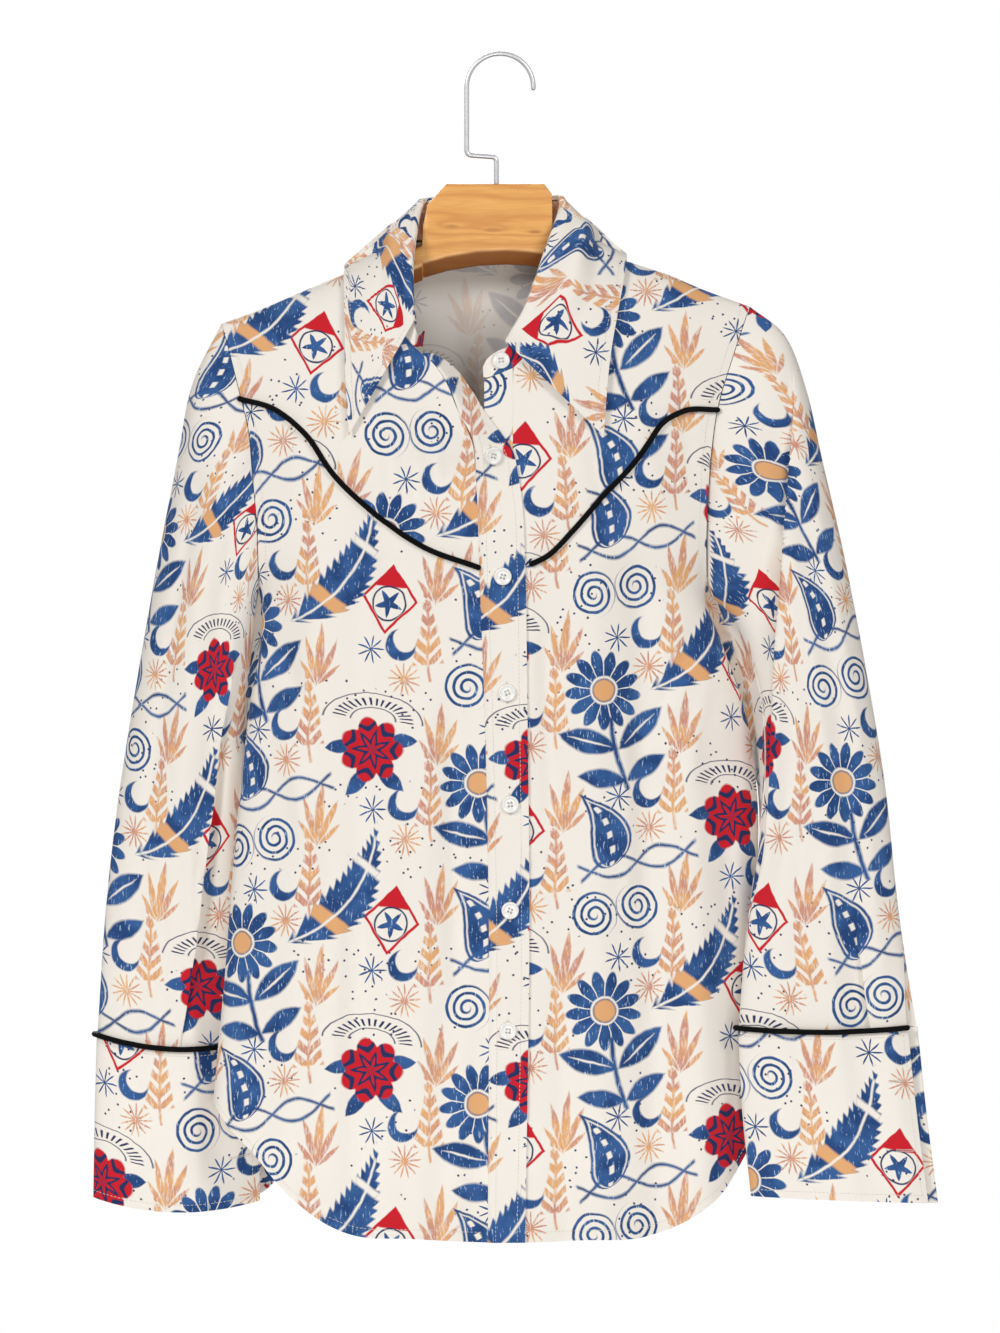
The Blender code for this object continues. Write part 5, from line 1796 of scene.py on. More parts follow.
@dataclass
class Sleeves:
    """Both sleeves with their deep cuffs."""

    cuff_wall: float = 1.4
    stitch_in: float = 5.0
    edge_turn: float = 0.12
    lap_gap: float = 0.03
    slit_ends: tuple[float, float] = (0.05, 0.95)
    proud: float = 0.12
    columns: int = 176
    closed_rows: int = 168
    open_rows: int = 30
    even_turns: int = 140
    cuff_rows: int = 46
    cuff_columns: int = 120
    lap_columns: int = 30
    stitch_points: int = 150
    nearby: float = 0.01

    def sleeve(self, arm: Arm) -> Cloth:
        """Sleeve from the armhole to the cuff, with the slit above the cuff.

        Args:
            arm: the arm's form.

        Returns:
            The sheet.
        """
        closed = np.linspace(0, 1 - SLIT_LENGTH, self.closed_rows)
        opened = np.linspace(1 - SLIT_LENGTH, 1, self.open_rows)[1:]
        shares = np.concatenate([closed, opened])
        turns = np.array([arm.turns(share, self.columns) for share in shares])
        grid = arm.sleeve(shares[:, None], turns)
        return Cloth(f"sleeve_{SIDE[arm.right]}", grid, joined_rows=len(closed),
                     places=self.flat(arm, shares, turns, grid),
                     roll=(0.06, 0.03, 0.0) if arm.right else (0.14, 0.10, 0.0))

    def flat(self, arm: Arm, shares: Array, turns: Array, grid: Array) -> Array:
        """Where a sleeve's points lie on the flat cloth; its outer edge is not moved by folds.

        Args:
            arm: the arm's form.
            shares: share down the arm of each row.
            turns: turn of each point.
            grid: the points.

        Returns:
            Rows by columns of places.
        """
        plain = arm.plain(*np.broadcast_arrays(shares[:, None], turns))
        level, folded = (place_on_roll(points, Laid.LENGTHWAYS, self.columns // 4, True)[..., 0]
                         for points in (plain, grid))
        outer = np.argmin(np.abs(turns - (math.pi if arm.right else 0.0)), axis=1)[:, None]
        across = folded + np.take_along_axis(level - folded, outer, axis=1)
        even = np.linspace(0, TURN_ALL + SLEEVE_TURN_IN, self.even_turns)
        plain = arm.plain(*np.broadcast_arrays(shares[:, None], even))
        high = place_on_roll(plain, Laid.LENGTHWAYS, 0, True)[..., 1]
        up = np.array([np.interp(row, even, levels) for row, levels in zip(turns, high)])
        return np.stack([across, up], axis=-1)

    def cuff(self, arm: Arm) -> Cloth:
        """Deep cuff, open at its slit, with its underlap turned in.

        Args:
            arm: the arm's form.

        Returns:
            The sheet.
        """
        lap = np.linspace(TURN_ALL, TURN_ALL + UNDERLAP, self.lap_columns)[1:]
        turns = np.concatenate([np.linspace(arm.free, TURN_ALL, self.cuff_columns), lap])
        down, turn = np.meshgrid(np.linspace(0, 1, self.cuff_rows), turns, indexing="ij")
        return Cloth(f"cuff_{SIDE[arm.right]}", arm.cuff_point(down, turn), self.cuff_wall,
                     laid=Laid.LENGTHWAYS, anchor=30, mirrored=True,
                     roll=(0.11, 0.06, 0.0) if arm.right else (0.03, 0.15, 0.0), doubled=True)

    def stitches(self, arm: Arm, lines: Lines) -> None:
        """Stitch round a cuff and along its slit.

        Args:
            arm: the arm's form.
            lines: the lines to add to.
        """
        start, end = arm.free + self.edge_turn, TURN_ALL - self.lap_gap
        turn = np.linspace(start, end, self.stitch_points)
        for down in (self.stitch_in / CUFF_HIGH, 1 - self.stitch_in / CUFF_HIGH):
            lines.run(self.lifted(arm, np.full_like(turn, down), turn))
        down = np.linspace(*self.slit_ends, 60)
        lines.run(self.lifted(arm, down, np.full_like(down, start)))

    def lifted(self, arm: Arm, down: Array, turn: Array, more: float = 0.0) -> Array:
        """Points on a cuff, a little proud of it.

        Args:
            arm: the arm's form.
            down: share down the cuff.
            turn: turn round it.
            more: further clearance.

        Returns:
            The points.
        """
        step = self.nearby
        ahead = arm.cuff_point(down, turn + step) - arm.cuff_point(down, turn - step)
        below = arm.cuff_point(down + step, turn) - arm.cuff_point(down - step, turn)
        outward = unit(np.cross(ahead, below))
        return arm.cuff_point(down, turn) + outward * (self.proud + more)

    def build(self, dressing: Dressing, lines: Lines) -> None:
        """Make both sleeves and both cuffs.

        Args:
            dressing: the finishes.
            lines: the stitching to add to.
        """
        for right in (True, False):
            arm = Arm(right)
            self.sleeve(arm).build(dressing)
            self.cuff(arm).build(dressing)
            self.stitches(arm, lines)


@dataclass
class Collar:
    """Stand round the neck with the fall folded over it."""

    wall: float = 1.3
    stitch_in: float = 5.0
    high: float = 70.0
    proud: float = 0.15
    behind: tuple[float, float] = (0.33, 0.69)
    edge_ends: tuple[float, float] = (0.012, 0.988)
    point_shares: tuple[float, float] = (0.014, 0.986)
    point_from: float = 0.3
    foot_rise: float = 0.02

    def stand(self) -> Cloth:
        """Stand, its ends over the buttoned strips."""
        share, rise = np.meshgrid(np.linspace(0, 1, 320), np.linspace(self.foot_rise, 1, 18))
        return Cloth("collar_stand", stand_point(share, rise), self.wall, laid=Laid.LENGTHWAYS,
                     anchor=0, roll=(0.04, 0.06, 0.0), doubled=True)

    def fall(self) -> Cloth:
        """Fall with its long points."""
        down = np.concatenate([np.linspace(0, ROLL_SHARE, 16)[:-1],
                               np.linspace(ROLL_SHARE, 1, 40)])
        share, down = np.meshgrid(np.linspace(0, 1, 330), down)
        return Cloth("collar_fall", fall_point(share, down), self.wall, flip=True,
                     laid=Laid.LENGTHWAYS, anchor=165, roll=(0.09, 0.02, 0.0), doubled=True)

    def stitches(self, lines: Lines) -> None:
        """Stitch along the fall's edges.

        Args:
            lines: the lines to add to.
        """
        share = np.linspace(*self.edge_ends, 420)
        high = 1 - self.stitch_in / self.high
        edge = fall_point(share, np.full_like(share, high))
        at_back = (share > self.behind[0]) & (share < self.behind[1])
        edge[:, 1] += np.where(at_back, self.proud, -self.proud)
        lines.run(edge)
        down = np.linspace(self.point_from, high, 60)
        for end in self.point_shares:
            line = fall_point(np.full_like(down, end), down)
            line[:, 1] -= self.proud
            lines.run(line)

    def build(self, dressing: Dressing, lines: Lines) -> None:
        """Make the stand and the fall.

        Args:
            dressing: the finishes.
            lines: the stitching to add to.
        """
        self.stand().build(dressing)
        self.fall().build(dressing)
        self.stitches(lines)


# --- trims ----------------------------------------------------------------

def lofted(name: str, grid: Array, uv: Array | None = None) -> Mesh:
    """Close a loft through rings of points.

    Args:
        name: the mesh's name.
        grid: rings by points, in millimetres.
        uv: the map's place at each corner.

    Returns:
        The mesh, its ends filled.
    """
    number = np.arange(grid.shape[0] * grid.shape[1]).reshape(grid.shape[:2])
    after = np.roll(number, -1, axis=1)
    faces = np.stack([number[:-1], after[:-1], after[1:], number[1:]], axis=2).reshape(-1, 4)
    mesh = mesh_of(name, grid.reshape(-1, 3) * MM, faces, uv)
    shape = bmesh.new()
    shape.from_mesh(mesh)
    bmesh.ops.holes_fill(shape, edges=[edge for edge in shape.edges if edge.is_boundary])
    bmesh.ops.recalc_face_normals(shape, faces=shape.faces)
    shape.to_mesh(mesh)
    shape.free()
    mesh.shade_smooth()
    return mesh


def tube(name: str, path: Array, radius: float, sides: int = 14, caps: int = 5) -> Mesh:
    """Round tube with rounded ends along a path in millimetres.

    Args:
        name: the mesh's name.
        path: points along the middle.
        radius: the tube's radius.
        sides: corners round it.
        caps: rings that round each end.

    Returns:
        A closed mesh whose map runs round and along it.
    """
    run = unit(np.gradient(path, axis=0))
    angles = np.linspace(0, math.pi / 2, caps + 1)[1:]
    head = [(path[0] - run[0] * radius * math.sin(a), run[0], radius * math.cos(a))
            for a in angles[::-1]]
    tail = [(path[-1] + run[-1] * radius * math.sin(a), run[-1], radius * math.cos(a))
            for a in angles]
    rings = head + [(p, r, radius) for p, r in zip(path, run)] + tail
    side = unit(np.cross(run[0], (0.3, 1.0, 0.2)))
    turns = np.linspace(0, TURN_ALL, sides + 1)[:-1]
    points = []
    for centre, ahead, wide in rings:
        side = unit(side - ahead * np.dot(side, ahead))
        other = np.cross(ahead, side)
        points.append(centre + max(wide, radius * 0.02) * (np.outer(np.cos(turns), side)
                                                           + np.outer(np.sin(turns), other)))
    steps = np.linalg.norm(np.diff([ring[0] for ring in rings], axis=0), axis=1)
    v = np.concatenate([[0], np.cumsum(steps)]) * MM
    u = np.linspace(0, TURN_ALL * radius * MM, sides + 1)
    corner_u = np.stack([u[:-1], u[1:], u[1:], u[:-1]], axis=1)[None].repeat(len(v) - 1, 0)
    corner_v = np.stack([v[:-1], v[:-1], v[1:], v[1:]], axis=1)[:, None].repeat(sides, 1)
    return lofted(name, np.array(points), np.stack([corner_u, corner_v], -1).reshape(-1, 4, 2))


def evaluated(piece: Object) -> Mesh:
    """Plain mesh of an object with its modifiers done.

    Args:
        piece: the object.

    Returns:
        The mesh.
    """
    bpy.context.view_layer.update()
    ready = piece.evaluated_get(bpy.context.evaluated_depsgraph_get())
    return bpy.data.meshes.new_from_object(ready)


def drawn(shape: bmesh.types.BMesh, name: str) -> Mesh:
    """Mesh of a finished shape, which is freed.

    Args:
        shape: the shape.
        name: the mesh's name.

    Returns:
        The mesh.
    """
    mesh = bpy.data.meshes.new(name)
    shape.to_mesh(mesh)
    shape.free()
    return mesh


@dataclass
class Piping:
    """Black piping in the yokes' seams and round the tops of the cuffs."""

    radius: float = 1.95
    seat: float = 0.35
    points: int = 150
    cuff_start: float = 0.04
    right_ends: tuple[float, float] = (-181.5, -15.0)
    left_ends: tuple[float, float] = (22.0, 151.5)
    right_short: float = 0.06
    left_short: float = 0.5

    def yoke(self, right: bool) -> Array:
        """Path along a yoke's seam."""
        x = np.linspace(*(self.right_ends if right else self.left_ends), self.points)
        return moved_out(FRONTS[right], x, read(YOKE[right], x)[0], self.radius - self.seat)

    def cuff(self, right: bool) -> Array:
        """Path round the top of a cuff.

        Args:
            right: the wearer's right one.

        Returns:
            The path.
        """
        arm, short = Arm(right), self.right_short if right else self.left_short
        turn = np.linspace(arm.free + self.cuff_start, TURN_ALL - short, self.points)
        return Sleeves().lifted(arm, np.zeros_like(turn), turn, self.radius - self.seat)

    def build(self, dressing: Dressing) -> None:
        """Make the four lengths of piping.

        Args:
            dressing: the finishes.
        """
        for right in (True, False):
            for place, path in (("yoke", self.yoke(right)), ("cuff", self.cuff(right))):
                node = f"piping_{place}_{SIDE[right]}"
                mesh = tube(f"{node}_cord", path, self.radius)
                place_piece(f"{node}_cord", mesh, [dressing.piping], node)


class Seat(NamedTuple):
    """Where a button is sewn: its foot, and the directions out and up."""

    foot: Array
    out: Array
    above: Array


def seat_on(form: Callable, across: float, up: float, step: tuple[float, float]) -> Seat:
    """Seat on a form.

    Args:
        form: points from places across and up.
        across: place across.
        up: place up.
        step: small steps across and up, which give the directions.

    Returns:
        The seat.
    """
    here = form(np.array(across), np.array(up))
    beside = form(np.array(across + step[0]), np.array(up)) - here
    above = form(np.array(across), np.array(up + step[1])) - here
    return Seat(here, np.cross(beside, above), above)


@dataclass
class Buttons:
    """Four-hole buttons, their threads and their buttonholes."""

    radius: float = 6.1
    high: float = 2.3
    well: float = 0.62
    hole_out: float = 1.55
    hole: float = 0.8
    thread: float = 0.36
    thread_apart: float = 0.22
    sides: int = 56
    seat: float = 0.25
    twist: float = 0.5
    slot_long: float = 7.6
    slot_wide: float = 1.0
    slot_turn: float = 0.30
    proud: float = 0.12
    front: tuple[tuple[float, float], ...] = ((-5.0, -282), (2.0, -366), (5.0, -447),
                                              (7.0, -525), (7.0, -599), (5.5, -683))
    neck: tuple[float, float] = (0.11, 0.5)
    cuff_turn: float = TURN_ALL + 0.7
    cuff_rows: tuple[float, float] = (0.3, 0.7)
    first_hole: float = 45.0
    sharp: float = 48.0

    def disc(self) -> Mesh:
        """Button with a raised rim, a well and four holes, its foot at the origin."""
        r, h = self.radius, self.high
        outline = [(0, 0), (r - 1.4, 0), (r - 0.5, 0.25), (r, 0.9), (r, h - 0.75),
                   (r - 0.25, h - 0.25), (r - 0.75, h), (r - 1.3, h - 0.02),
                   (r - 1.9, h - 0.45), (r - 2.6, h - self.well), (0, h - 0.68)]
        shape = bmesh.new()
        line = [shape.verts.new((x * MM, 0, z * MM)) for x, z in outline]
        edges = [shape.edges.new(pair) for pair in zip(line, line[1:])]
        bmesh.ops.spin(shape, geom=line + edges, cent=(0, 0, 0), axis=(0, 0, 1),
                       angle=TURN_ALL, steps=self.sides, use_duplicate=False)
        bmesh.ops.remove_doubles(shape, verts=shape.verts, dist=0.01 * MM)
        bmesh.ops.recalc_face_normals(shape, faces=shape.faces)
        holes = bmesh.new()
        for turn in range(4):
            angle = math.radians(self.first_hole + 90 * turn)
            at = Matrix.Translation((self.hole_out * MM * math.cos(angle),
                                     self.hole_out * MM * math.sin(angle), 0))
            bmesh.ops.create_cone(holes, cap_ends=True, segments=18, radius1=self.hole * MM,
                                  radius2=self.hole * MM, depth=3 * h * MM, matrix=at)
        blank = linked("button_blank", drawn(shape, "button_disc"))
        cutter = linked("button_cutter", drawn(holes, "button_holes"))
        cut = blank.modifiers.new("holes", "BOOLEAN")
        cut.object, cut.operation, cut.solver = cutter, "DIFFERENCE", "EXACT"
        mesh = evaluated(blank)
        for piece in (blank, cutter):
            bpy.data.objects.remove(piece, do_unlink=True)
        return mesh

    def sewn(self, disc: Mesh) -> Mesh:
        """Sew two rows of thread through a button's holes.

        Args:
            disc: the button.

        Returns:
            The button with its thread in the second material.
        """
        shape = bmesh.new()
        shape.from_mesh(disc)
        reach = self.hole_out * math.sin(math.pi / 4)
        share = np.linspace(-1, 1, 13)
        lift = self.high - self.well + 0.32 - 0.9 * np.clip(np.abs(share) - 0.62, 0, 1) * 2.2
        for side in (-1, 1):
            for shift in (-self.thread_apart, self.thread_apart):
                path = np.column_stack([np.full(13, side * reach + shift),
                                        share * (reach + 0.35), lift])
                strand = tube("strand", path, self.thread / 2, 7, 2)
                start = len(shape.faces)
                shape.from_mesh(strand)
                shape.faces.ensure_lookup_table()
                for face in shape.faces[start:]:
                    face.material_index = 1
                bpy.data.meshes.remove(strand)
        for face in shape.faces:
            face.smooth = True
        made = drawn(shape, "button_sewn")
        made.set_sharp_from_angle(angle=math.radians(self.sharp))
        return made

    def across_strip(self, x: float, z: float) -> tuple[float, float]:
        """Share across the upper strip of a place, and the strip's width there."""
        seam, _, edge, _ = read(STRIP, np.array(float(z)))
        return (x - seam) / (edge - seam), edge - seam

    def seats(self) -> dict[str, Seat]:
        """Seat of each button, by its node."""
        found = {}
        for number, (x, z) in enumerate(self.front, start=1):
            found[f"button_front_{number}"] = seat_on(
                lambda share, up: strip_point(up, share), self.across_strip(x, z)[0], float(z),
                (0.1, 2))
        found["button_neck"] = seat_on(stand_point, *self.neck, (0.01, 0.1))
        for right in (True, False):
            arm = Arm(right)
            for number, row in enumerate(self.cuff_rows, start=1):
                foot, out, below = seat_on(lambda turn, down: arm.cuff_point(down, turn),
                                           self.cuff_turn, row, (0.05, 0.02))
                found[f"button_cuff_{SIDE[right]}_{number}"] = Seat(foot, out, -below)
        return found

    def frame_at(self, seat: Seat, twist: float) -> Matrix:
        """Set a button on its seat.

        Args:
            seat: the seat.
            twist: the small turn that a sewn button has.

        Returns:
            The matrix that moves the button there.
        """
        here, out, above = (Vector(part) for part in seat)
        out.normalize()
        side = above.cross(out).normalized()
        axes = Matrix((side, out.cross(side), out)).transposed().to_4x4()
        return Matrix.Translation((here + out * self.seat) * MM) @ axes \
            @ Matrix.Rotation(twist, 4, "Z")

    def buttonholes(self, lines: Lines) -> None:
        """Stitch the buttonholes of the strip and of the cuffs.

        Args:
            lines: the lines to add to.
        """
        for x, z in self.front:
            share, wide = self.across_strip(x, z)
            self.slot_at(lines, lambda u, v: strip_point(z + v, share + u / wide, self.proud))
        for right in (True, False):
            arm, sleeves = Arm(right), Sleeves()
            for row in self.cuff_rows:
                self.slot_at(lines, lambda u, v: sleeves.lifted(
                    arm, row - u / CUFF_HIGH, arm.free + self.slot_turn + v / CUFF_ACROSS))

    def slot_at(self, lines: Lines, place: Callable) -> None:
        """Stitch both sides of one buttonhole.

        Args:
            lines: the lines to add to.
            place: points from distances across and along the buttonhole.
        """
        v = np.linspace(-self.slot_long, self.slot_long, 24)
        across = place(np.full_like(v, 1.0), v) - place(np.full_like(v, -1.0), v)
        for side in (-1, 1):
            lines.barred(place(np.full_like(v, side * self.slot_wide / 2), v), across[12])

    def build(self, dressing: Dressing, lines: Lines) -> None:
        """Make the eleven buttons.

        Args:
            dressing: the finishes.
            lines: the buttonholes' stitching to add to.
        """
        sewn = self.sewn(self.disc())
        chance = np.random.default_rng(3)
        for node, seat in self.seats().items():
            mesh = sewn.copy()
            mesh.transform(self.frame_at(seat, chance.uniform(-self.twist, self.twist)))
            place_piece(f"{node}_pearl", mesh, [dressing.button, dressing.thread], node)
        bpy.data.meshes.remove(sewn)
        self.buttonholes(lines)


@dataclass
class Stitcher:
    """Geometry nodes that set stitches along lines."""

    pitch: float = 0.0029
    long: float = 0.0022
    thick: float = 0.0004
    close_pitch: float = 0.0006
    close_long: float = 0.0009

    def tree(self) -> bpy.types.NodeTree:
        """Tree with named inputs for pitch, length, thickness and finish."""
        tree = bpy.data.node_groups.new("stitches", "GeometryNodeTree")
        inputs = {"Lines": "Geometry", "Pitch": "Float", "Length": "Float",
                  "Thickness": "Float", "Thread": "Material"}
        for name, kind in inputs.items():
            tree.interface.new_socket(name, in_out="INPUT", socket_type=f"NodeSocket{kind}")
        tree.interface.new_socket("Stitches", in_out="OUTPUT", socket_type="NodeSocketGeometry")
        graph = Graph(tree)
        lines, pitch, length, thick, thread = (graph.add("NodeGroupInput", output=name)
                                               for name in inputs)
        curve = graph.add("GeometryNodeMeshToCurve", {}, {"Mesh": lines})
        points = graph.add("GeometryNodeCurveToPoints", {"mode": "LENGTH"},
                           {"Curve": curve, "Length": pitch})
        lay = graph.add("GeometryNodeInputNamedAttribute", {"data_type": "FLOAT_VECTOR"},
                        {"Name": "lay"})
        turn = graph.add("FunctionNodeAlignRotationToVector", {"axis": "Z"}, {"Vector": lay})
        thin = thick * 0.5
        size = graph.add("ShaderNodeCombineXYZ", {}, {0: thin, 1: thin, 2: length * 0.5})
        ball = graph.add("GeometryNodeMeshUVSphere", {},
                         {"Segments": 6, "Rings": 5, "Radius": 1.0})
        stitch = graph.add("GeometryNodeTransform", {}, {"Geometry": ball, "Scale": size})
        smooth = graph.add("GeometryNodeSetShadeSmooth", {}, {"Geometry": stitch})
        placed = graph.add("GeometryNodeInstanceOnPoints", {},
                           {"Points": points, "Instance": smooth, "Rotation": turn})
        real = graph.add("GeometryNodeRealizeInstances", {}, {"Geometry": placed})
        dressed = graph.add("GeometryNodeSetMaterial", {},
                            {"Geometry": real, "Material": thread})
        graph.add("NodeGroupOutput", {}, {"Stitches": dressed})
        return tree

    def build(self, name: str, lines: Lines, close: bool, tree: bpy.types.NodeTree,
              thread: Material) -> None:
        """Make one piece of stitching.

        Args:
            name: the piece's name.
            lines: the lines to follow.
            close: buttonhole stitches, set close together.
            tree: the stitching tree.
            thread: the finish.
        """
        edges, start = [], 0
        for points in lines.points:
            edges += [(start + i, start + i + 1) for i in range(len(points) - 1)]
            start += len(points)
        guide = bpy.data.meshes.new(f"{name}_lines")
        guide.from_pydata((np.concatenate(lines.points) * MM).tolist(), edges, [])
        lay = guide.attributes.new("lay", "FLOAT_VECTOR", "POINT")
        lay.data.foreach_set("vector", np.concatenate(lines.lays).astype(np.float32).ravel())
        carrier = linked(f"{name}_carrier", guide)
        modifier = carrier.modifiers.new("stitches", "NODES")
        modifier.node_group = tree
        values = {"Pitch": self.close_pitch if close else self.pitch,
                  "Length": self.close_long if close else self.long,
                  "Thickness": self.thick, "Thread": thread}
        for item in tree.interface.items_tree:
            if item.name in values:
                modifier[item.identifier] = values[item.name]
        mesh = evaluated(carrier)
        carrier.modifiers.remove(modifier)
        bpy.data.objects.remove(carrier, do_unlink=True)
        place_piece(name, mesh, [thread], None)


# --- hanger and hook ------------------------------------------------------

@dataclass
class Hanger:
    """Flat wooden hanger with its bent wire hook."""

    round_: float = 2.4
    chamfer: float = 10.0
    step: float = 1.6
    sharp: float = 40
    wire: float = 1.75
    hook_radius: float = 23.4
    tip_turn: float = -2.0
    jog: float = -69.5
    jog_drop: float = 1.5
    foot_x: float = -2.5
    foot_z: float = -89.4
    corner: float = 3.5

    def outline(self, top: float, low: float, half: float) -> Array:
        """Closed section of the wood, its lower front corner cut away.

        Args:
            top: height of its top.
            low: height of its low edge.
            half: half its depth.

        Returns:
            The section's places, in depth and height.
        """
        soft = min(self.round_, half / 2)
        cut = min(self.chamfer, (top - low) / 2)
        corners = [(-half, top, soft), (-half, low + cut, soft), (0.0, low, soft * 0.6),
                   (half, low, soft), (half, top, soft)]
        line = []
        for i, (y, z, size) in enumerate(corners):
            at = np.array([y, z])
            before, after = (unit(np.array(corners[(i + k) % len(corners)][:2]) - at)
                             for k in (-1, 1))
            for share in np.linspace(0, 1, 7):
                line.append(at + before * size * (1 - share) ** 2 + after * size * share ** 2)
        return np.array(line)

    def wood(self) -> Mesh:
        """Body of the hanger, lofted along its rail."""
        rows = np.array(RAILS)
        across = np.unique(np.concatenate([np.arange(rows[0, 0], rows[-1, 0], self.step),
                                           rows[:, 0]]))
        sizes = [np.interp(across, rows[:, 0], rows[:, column]) for column in (1, 2, 3)]
        lines = [self.outline(*size) for size in zip(*sizes)]
        grid = np.array([np.column_stack([np.full(len(line), x), line])
                         for x, line in zip(across, lines)])
        mesh = lofted("hanger_wood", grid)
        mesh.set_sharp_from_angle(angle=math.radians(self.sharp))
        return mesh

    def bend(self, before: Array, at: Array, after: Array) -> Array:
        """Rounded corner of the wire.

        Args:
            before: a point on the wire before it.
            at: the corner.
            after: a point on the wire after it.

        Returns:
            Points round the corner.
        """
        enter, leave = at + unit(before - at) * self.corner, at + unit(after - at) * self.corner
        share = np.linspace(0, 1, 9)[:, None]
        return enter * (1 - share) ** 2 + 2 * at * share * (1 - share) + leave * share ** 2

    def hook(self) -> Array:
        """Path of the wire: round top, straight shank, jog and foot."""
        turns = np.radians(np.linspace(self.tip_turn, 180, 64))
        middle = self.wire - self.hook_radius
        top = np.column_stack([self.hook_radius * np.cos(turns), np.zeros(64),
                               middle + self.hook_radius * np.sin(turns)])
        elbow = np.array([-self.hook_radius, 0, self.jog])
        jog = np.array([self.foot_x, 0, self.jog - self.jog_drop])
        foot = np.array([self.foot_x, 0, self.foot_z])
        return np.concatenate([top, self.bend(top[-1], elbow, jog), self.bend(elbow, jog, foot),
                               foot[None]])

    def build(self, dressing: Dressing) -> None:
        """Make the hanger and its hook.

        Args:
            dressing: the finishes.
        """
        place_piece("hanger_wood", self.wood(), [dressing.wood], "hanger")
        mesh = tube("hook_wire", self.hook(), self.wire, 20, 6)
        place_piece("hook_wire", mesh, [dressing.steel], "hook")


# --- other finishes -------------------------------------------------------

@dataclass(frozen=True)
class CordCloth:
    """Black bias cloth drawn tight round a cord."""

    colour: Colour = ink(6, 6, 7)
    # lighter black, mixed in at random over the nap and a little on each rib's crest, a painted
    # sheen
    worn_and_rib_sheen: Colour = ink(24, 24, 26)
    roughness: float = 0.5
    rib: float = 0.00055

    def build(self) -> Material:
        """Material of the piping."""
        graph = Finish("piping_black")
        cloth = graph.cloth()
        rib = graph.dot(cloth, (TURN_ALL / self.rib, TURN_ALL / self.rib, 0)).sine()
        nap = graph.noise(cloth, 900.0, 2.0)
        # lighter at random over the nap, and a little lighter on each rib's crest: a painted sheen
        # along the ribs
        colour = graph.blend((nap * 0.5).scaled(1.0, rib * 0.12), self.colour, self.worn_and_rib_sheen)
        return graph.finish(Base_Color=colour, Roughness=self.roughness,
                            Specular_IOR_Level=0.05, Normal=graph.bump(rib, 0.5, 0.0003))


@dataclass(frozen=True)
class SewingThread:
    """Cream sewing thread, the tone of the cloth."""

    colour: Colour = ink(236, 229, 218)
    shade: Colour = ink(206, 198, 186)

    def build(self) -> Material:
        """Material of the stitches."""
        graph = Finish("thread")
        twist = graph.noise(graph.place(), 2600.0, 1.0, dimensions="3D")
        return graph.finish(Base_Color=graph.blend(twist, self.colour, self.shade),
                            Roughness=0.6)


@dataclass(frozen=True)
class PearlWhite:
    """White moulded button with a faint pearly cloud."""

    colour: Colour = ink(244, 241, 235)
    cloud: Colour = ink(230, 228, 223)

    def build(self) -> Material:
        """Material of the buttons."""
        graph = Finish("button_white")
        place = graph.place()
        cloud = graph.noise(place, 420.0, 3.0, 0.6, dimensions="3D")
        fine = graph.noise(place, 3000.0, 1.0, dimensions="3D")
        return graph.finish(
            Base_Color=graph.blend(cloud.above(0.5, 0.2), self.colour, self.cloud),
            Roughness=cloud.scaled(0.15, 0.22), Coat_Weight=0.35, Coat_Roughness=0.15,
            Normal=graph.bump(fine, 0.08, 0.0002))


@dataclass(frozen=True)
class AmberWood:
    """Varnished amber wood with a wavy grain, and a painted shade on the faces that turn down."""

    light: Colour = ink(238, 176, 92)
    grain: Colour = ink(206, 134, 58)
    knot: Colour = ink(150, 84, 32)
    # painted shade: the colour given to faces that turn down
    under: Colour = ink(128, 64, 14)
    lens_slope: float = 0.26
    eyes: tuple[tuple[float, float, float], ...] = (
        (-0.034, -0.1200, 330.0), (-0.005, -0.1222, 420.0), (0.025, -0.1240, 360.0))

    def build(self) -> Material:
        """Material of the hanger."""
        graph = Finish("hanger_wood")
        place = graph.place()
        drift = graph.noise(graph.vector("MULTIPLY", place, (9.0, 60.0, 60.0)), 1.0, 3.0, 0.55,
                            dimensions="3D")
        drawn_in = graph.vector("MULTIPLY", place, (self.lens_slope, 1, 1))
        eye = 0.0
        for across, high, tight in self.eyes:
            centre = (across * self.lens_slope, -0.007, high)
            away = graph.vector("DISTANCE", drawn_in, centre, output=1)
            eye = graph.math("EXPONENT", away * -tight) + eye
        height = graph.dot(place, (0.0, 60.0, 620.0))
        rings = (height.scaled(1.0, drift * 15.0) + eye * 9.0).sine()
        fibre = graph.noise(graph.vector("MULTIPLY", place, (60.0, 1700.0, 1700.0)), 1.0, 3.0,
                            dimensions="3D")
        # how far each face turns down, which places the painted shade
        facing = graph.dot(graph.add("ShaderNodeNewGeometry", output="Normal"),
                           (0.0, 0.0, -1.0))
        colour: Value | Colour = self.light
        for share, tone in ((rings.scaled(0.28, 0.28), self.grain),
                            (rings.above(0.8, 0.2) * 0.4, self.grain),
                            (fibre.above(0.52, 0.12) * 0.45, self.grain),
                            (eye.above(0.7, 0.1) * 0.5, self.knot),
                            # painted shade on the faces that turn down
                            (facing.above(0.35, 0.12) * 0.85, self.under)):
            colour = graph.blend(share, colour, tone)
        return graph.finish(Base_Color=colour, Roughness=fibre.scaled(0.2, 0.32),
                            Coat_Weight=0.3, Coat_Roughness=0.25,
                            Normal=graph.bump(fibre, 0.15, 0.0002))


@dataclass(frozen=True)
class WireSteel:
    """Plain bright wire."""

    colour: Colour = ink(176, 176, 178)

    def build(self) -> Material:
        """Material of the hook."""
        graph = Finish("hook_steel")
        drawn_out = graph.noise(graph.place(), 900.0, 2.0, dimensions="3D")
        return graph.finish(Base_Color=self.colour, Metallic=1.0,
                            Roughness=drawn_out.scaled(0.2, 0.22))


# --- studio ---------------------------------------------------------------

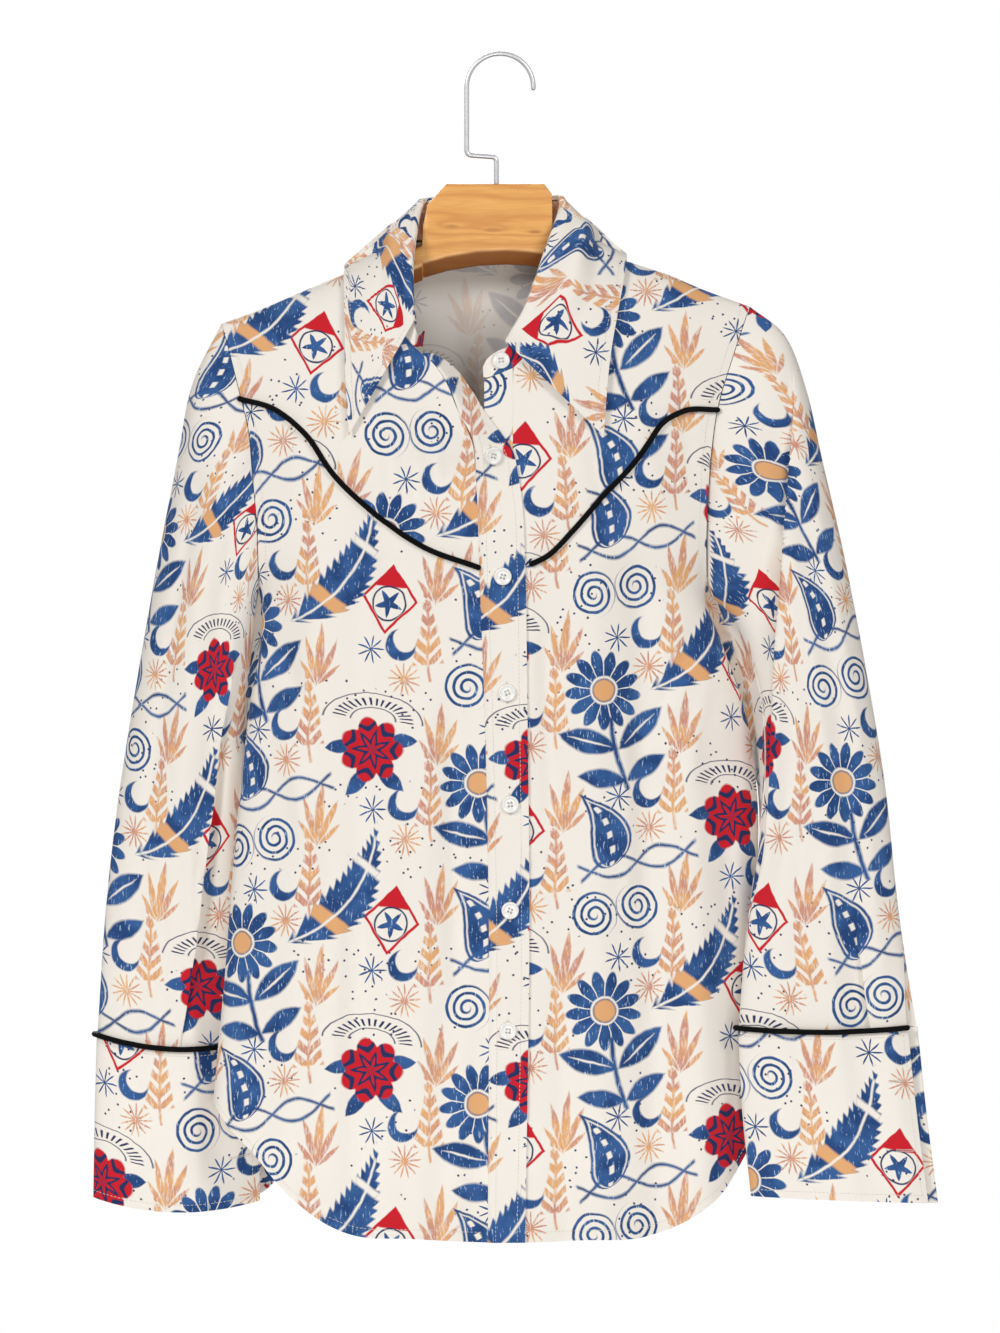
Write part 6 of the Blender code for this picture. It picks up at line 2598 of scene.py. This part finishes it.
@dataclass
class Studio:
    """Camera, lamps, floor and white surroundings."""

    centre: tuple[float, float, float] = (0.0, -0.02, -0.42875)
    away: float = 6.0
    view_high: float = 0.9331
    sensor: float = 36.0
    floor_low: float = -0.95
    floor_size: tuple[float, float] = (2.4, 1.0)
    ambient: float = 0.2
    lamps: tuple[tuple[tuple[float, float, float], float, float], ...] = (
        ((-2.4, -3.4, 1.4), 1.2, 84.0), ((2.2, -3.4, 1.7), 1.6, 58.0),
        ((0.3, -3.4, -1.3), 1.4, 29.0), ((-0.6, 2.8, 1.0), 1.6, 70.0))

    def camera(self) -> None:
        """Camera level with the middle of the shirt, straight in front."""
        data = bpy.data.cameras.new("view")
        data.sensor_width = self.sensor
        data.lens = self.sensor * self.away / self.view_high
        data.clip_end = 40.0
        made = linked("view", data)
        made.location = Vector(self.centre) + Vector((0, -self.away, 0))
        made.rotation_euler = (math.pi / 2, 0, 0)
        bpy.context.scene.camera = made

    def light(self) -> None:
        """Large soft lamps, aimed at the shirt."""
        for number, (place, size, power) in enumerate(self.lamps):
            data = bpy.data.lights.new(f"lamp_{number}", "AREA")
            data.shape, data.size, data.energy = "SQUARE", size, power
            made = linked(f"lamp_{number}", data)
            made.location = place
            toward = Vector(self.centre) - Vector(place)
            made.rotation_euler = toward.to_track_quat("-Z", "Y").to_euler()

    def surroundings(self) -> None:
        """White for the eye and for reflections, plain grey for the light."""
        world = bpy.data.worlds.new("surroundings")
        world.use_nodes = True
        bpy.context.scene.world = world
        world.node_tree.nodes.clear()
        graph = Graph(world.node_tree)
        camera, glossy, through = (
            graph.add("ShaderNodeLightPath", output=f"Is {ray} Ray")
            for ray in ("Camera", "Glossy", "Transmission"))
        plain, white = (graph.add("ShaderNodeBackground", {},
                                  {"Color": (1, 1, 1), "Strength": strength})
                        for strength in (self.ambient, 1.0))
        choose = graph.add("ShaderNodeMixShader", {},
                           {0: camera | glossy | through, 1: plain, 2: white})
        graph.add("ShaderNodeOutputWorld", {}, {"Surface": choose})

    def floor(self) -> None:
        """Pale floor under the shirt."""
        wide, deep = self.floor_size[0] / 2, self.floor_size[1] / 2
        mesh = bpy.data.meshes.new("floor")
        corners = ((-wide, -deep), (wide, -deep), (wide, deep), (-wide, deep))
        mesh.from_pydata([(x, y, self.floor_low) for x, y in corners], [], [(0, 1, 2, 3)])
        mesh.materials.append(Finish("floor_pale").finish(Base_Color=ink(236, 236, 236),
                                                          Roughness=0.9))
        linked("floor", mesh)

    def build(self) -> None:
        """Set up the studio."""
        self.camera()
        self.light()
        self.surroundings()
        self.floor()
        bpy.context.scene.view_settings.view_transform = "Standard"


def main() -> None:
    """Build the shirt, its hanger and the studio; each piece's face count is logged as it is made.
    """
    logging.basicConfig(level=logging.INFO, format="%(name)s %(message)s")
    Studio().build()
    cotton = CottonPrint()
    dressing = Dressing(cotton.build("cotton_print", Side.FACE),
                        cotton.build("cotton_print_behind", Side.BACK), CordCloth().build(),
                        SewingThread().build(), PearlWhite().build(), AmberWood().build(),
                        WireSteel().build())
    seams, holes = Lines(), Lines()
    Body().build(dressing, seams)
    Sleeves().build(dressing, seams)
    Collar().build(dressing, seams)
    Piping().build(dressing)
    Buttons().build(dressing, holes)
    Hanger().build(dressing)
    stitcher = Stitcher()
    tree = stitcher.tree()
    stitcher.build("seam_stitches", seams, False, tree, dressing.thread)
    stitcher.build("buttonhole_stitches", holes, True, tree, dressing.thread)


if __name__ == "__main__":
    main()
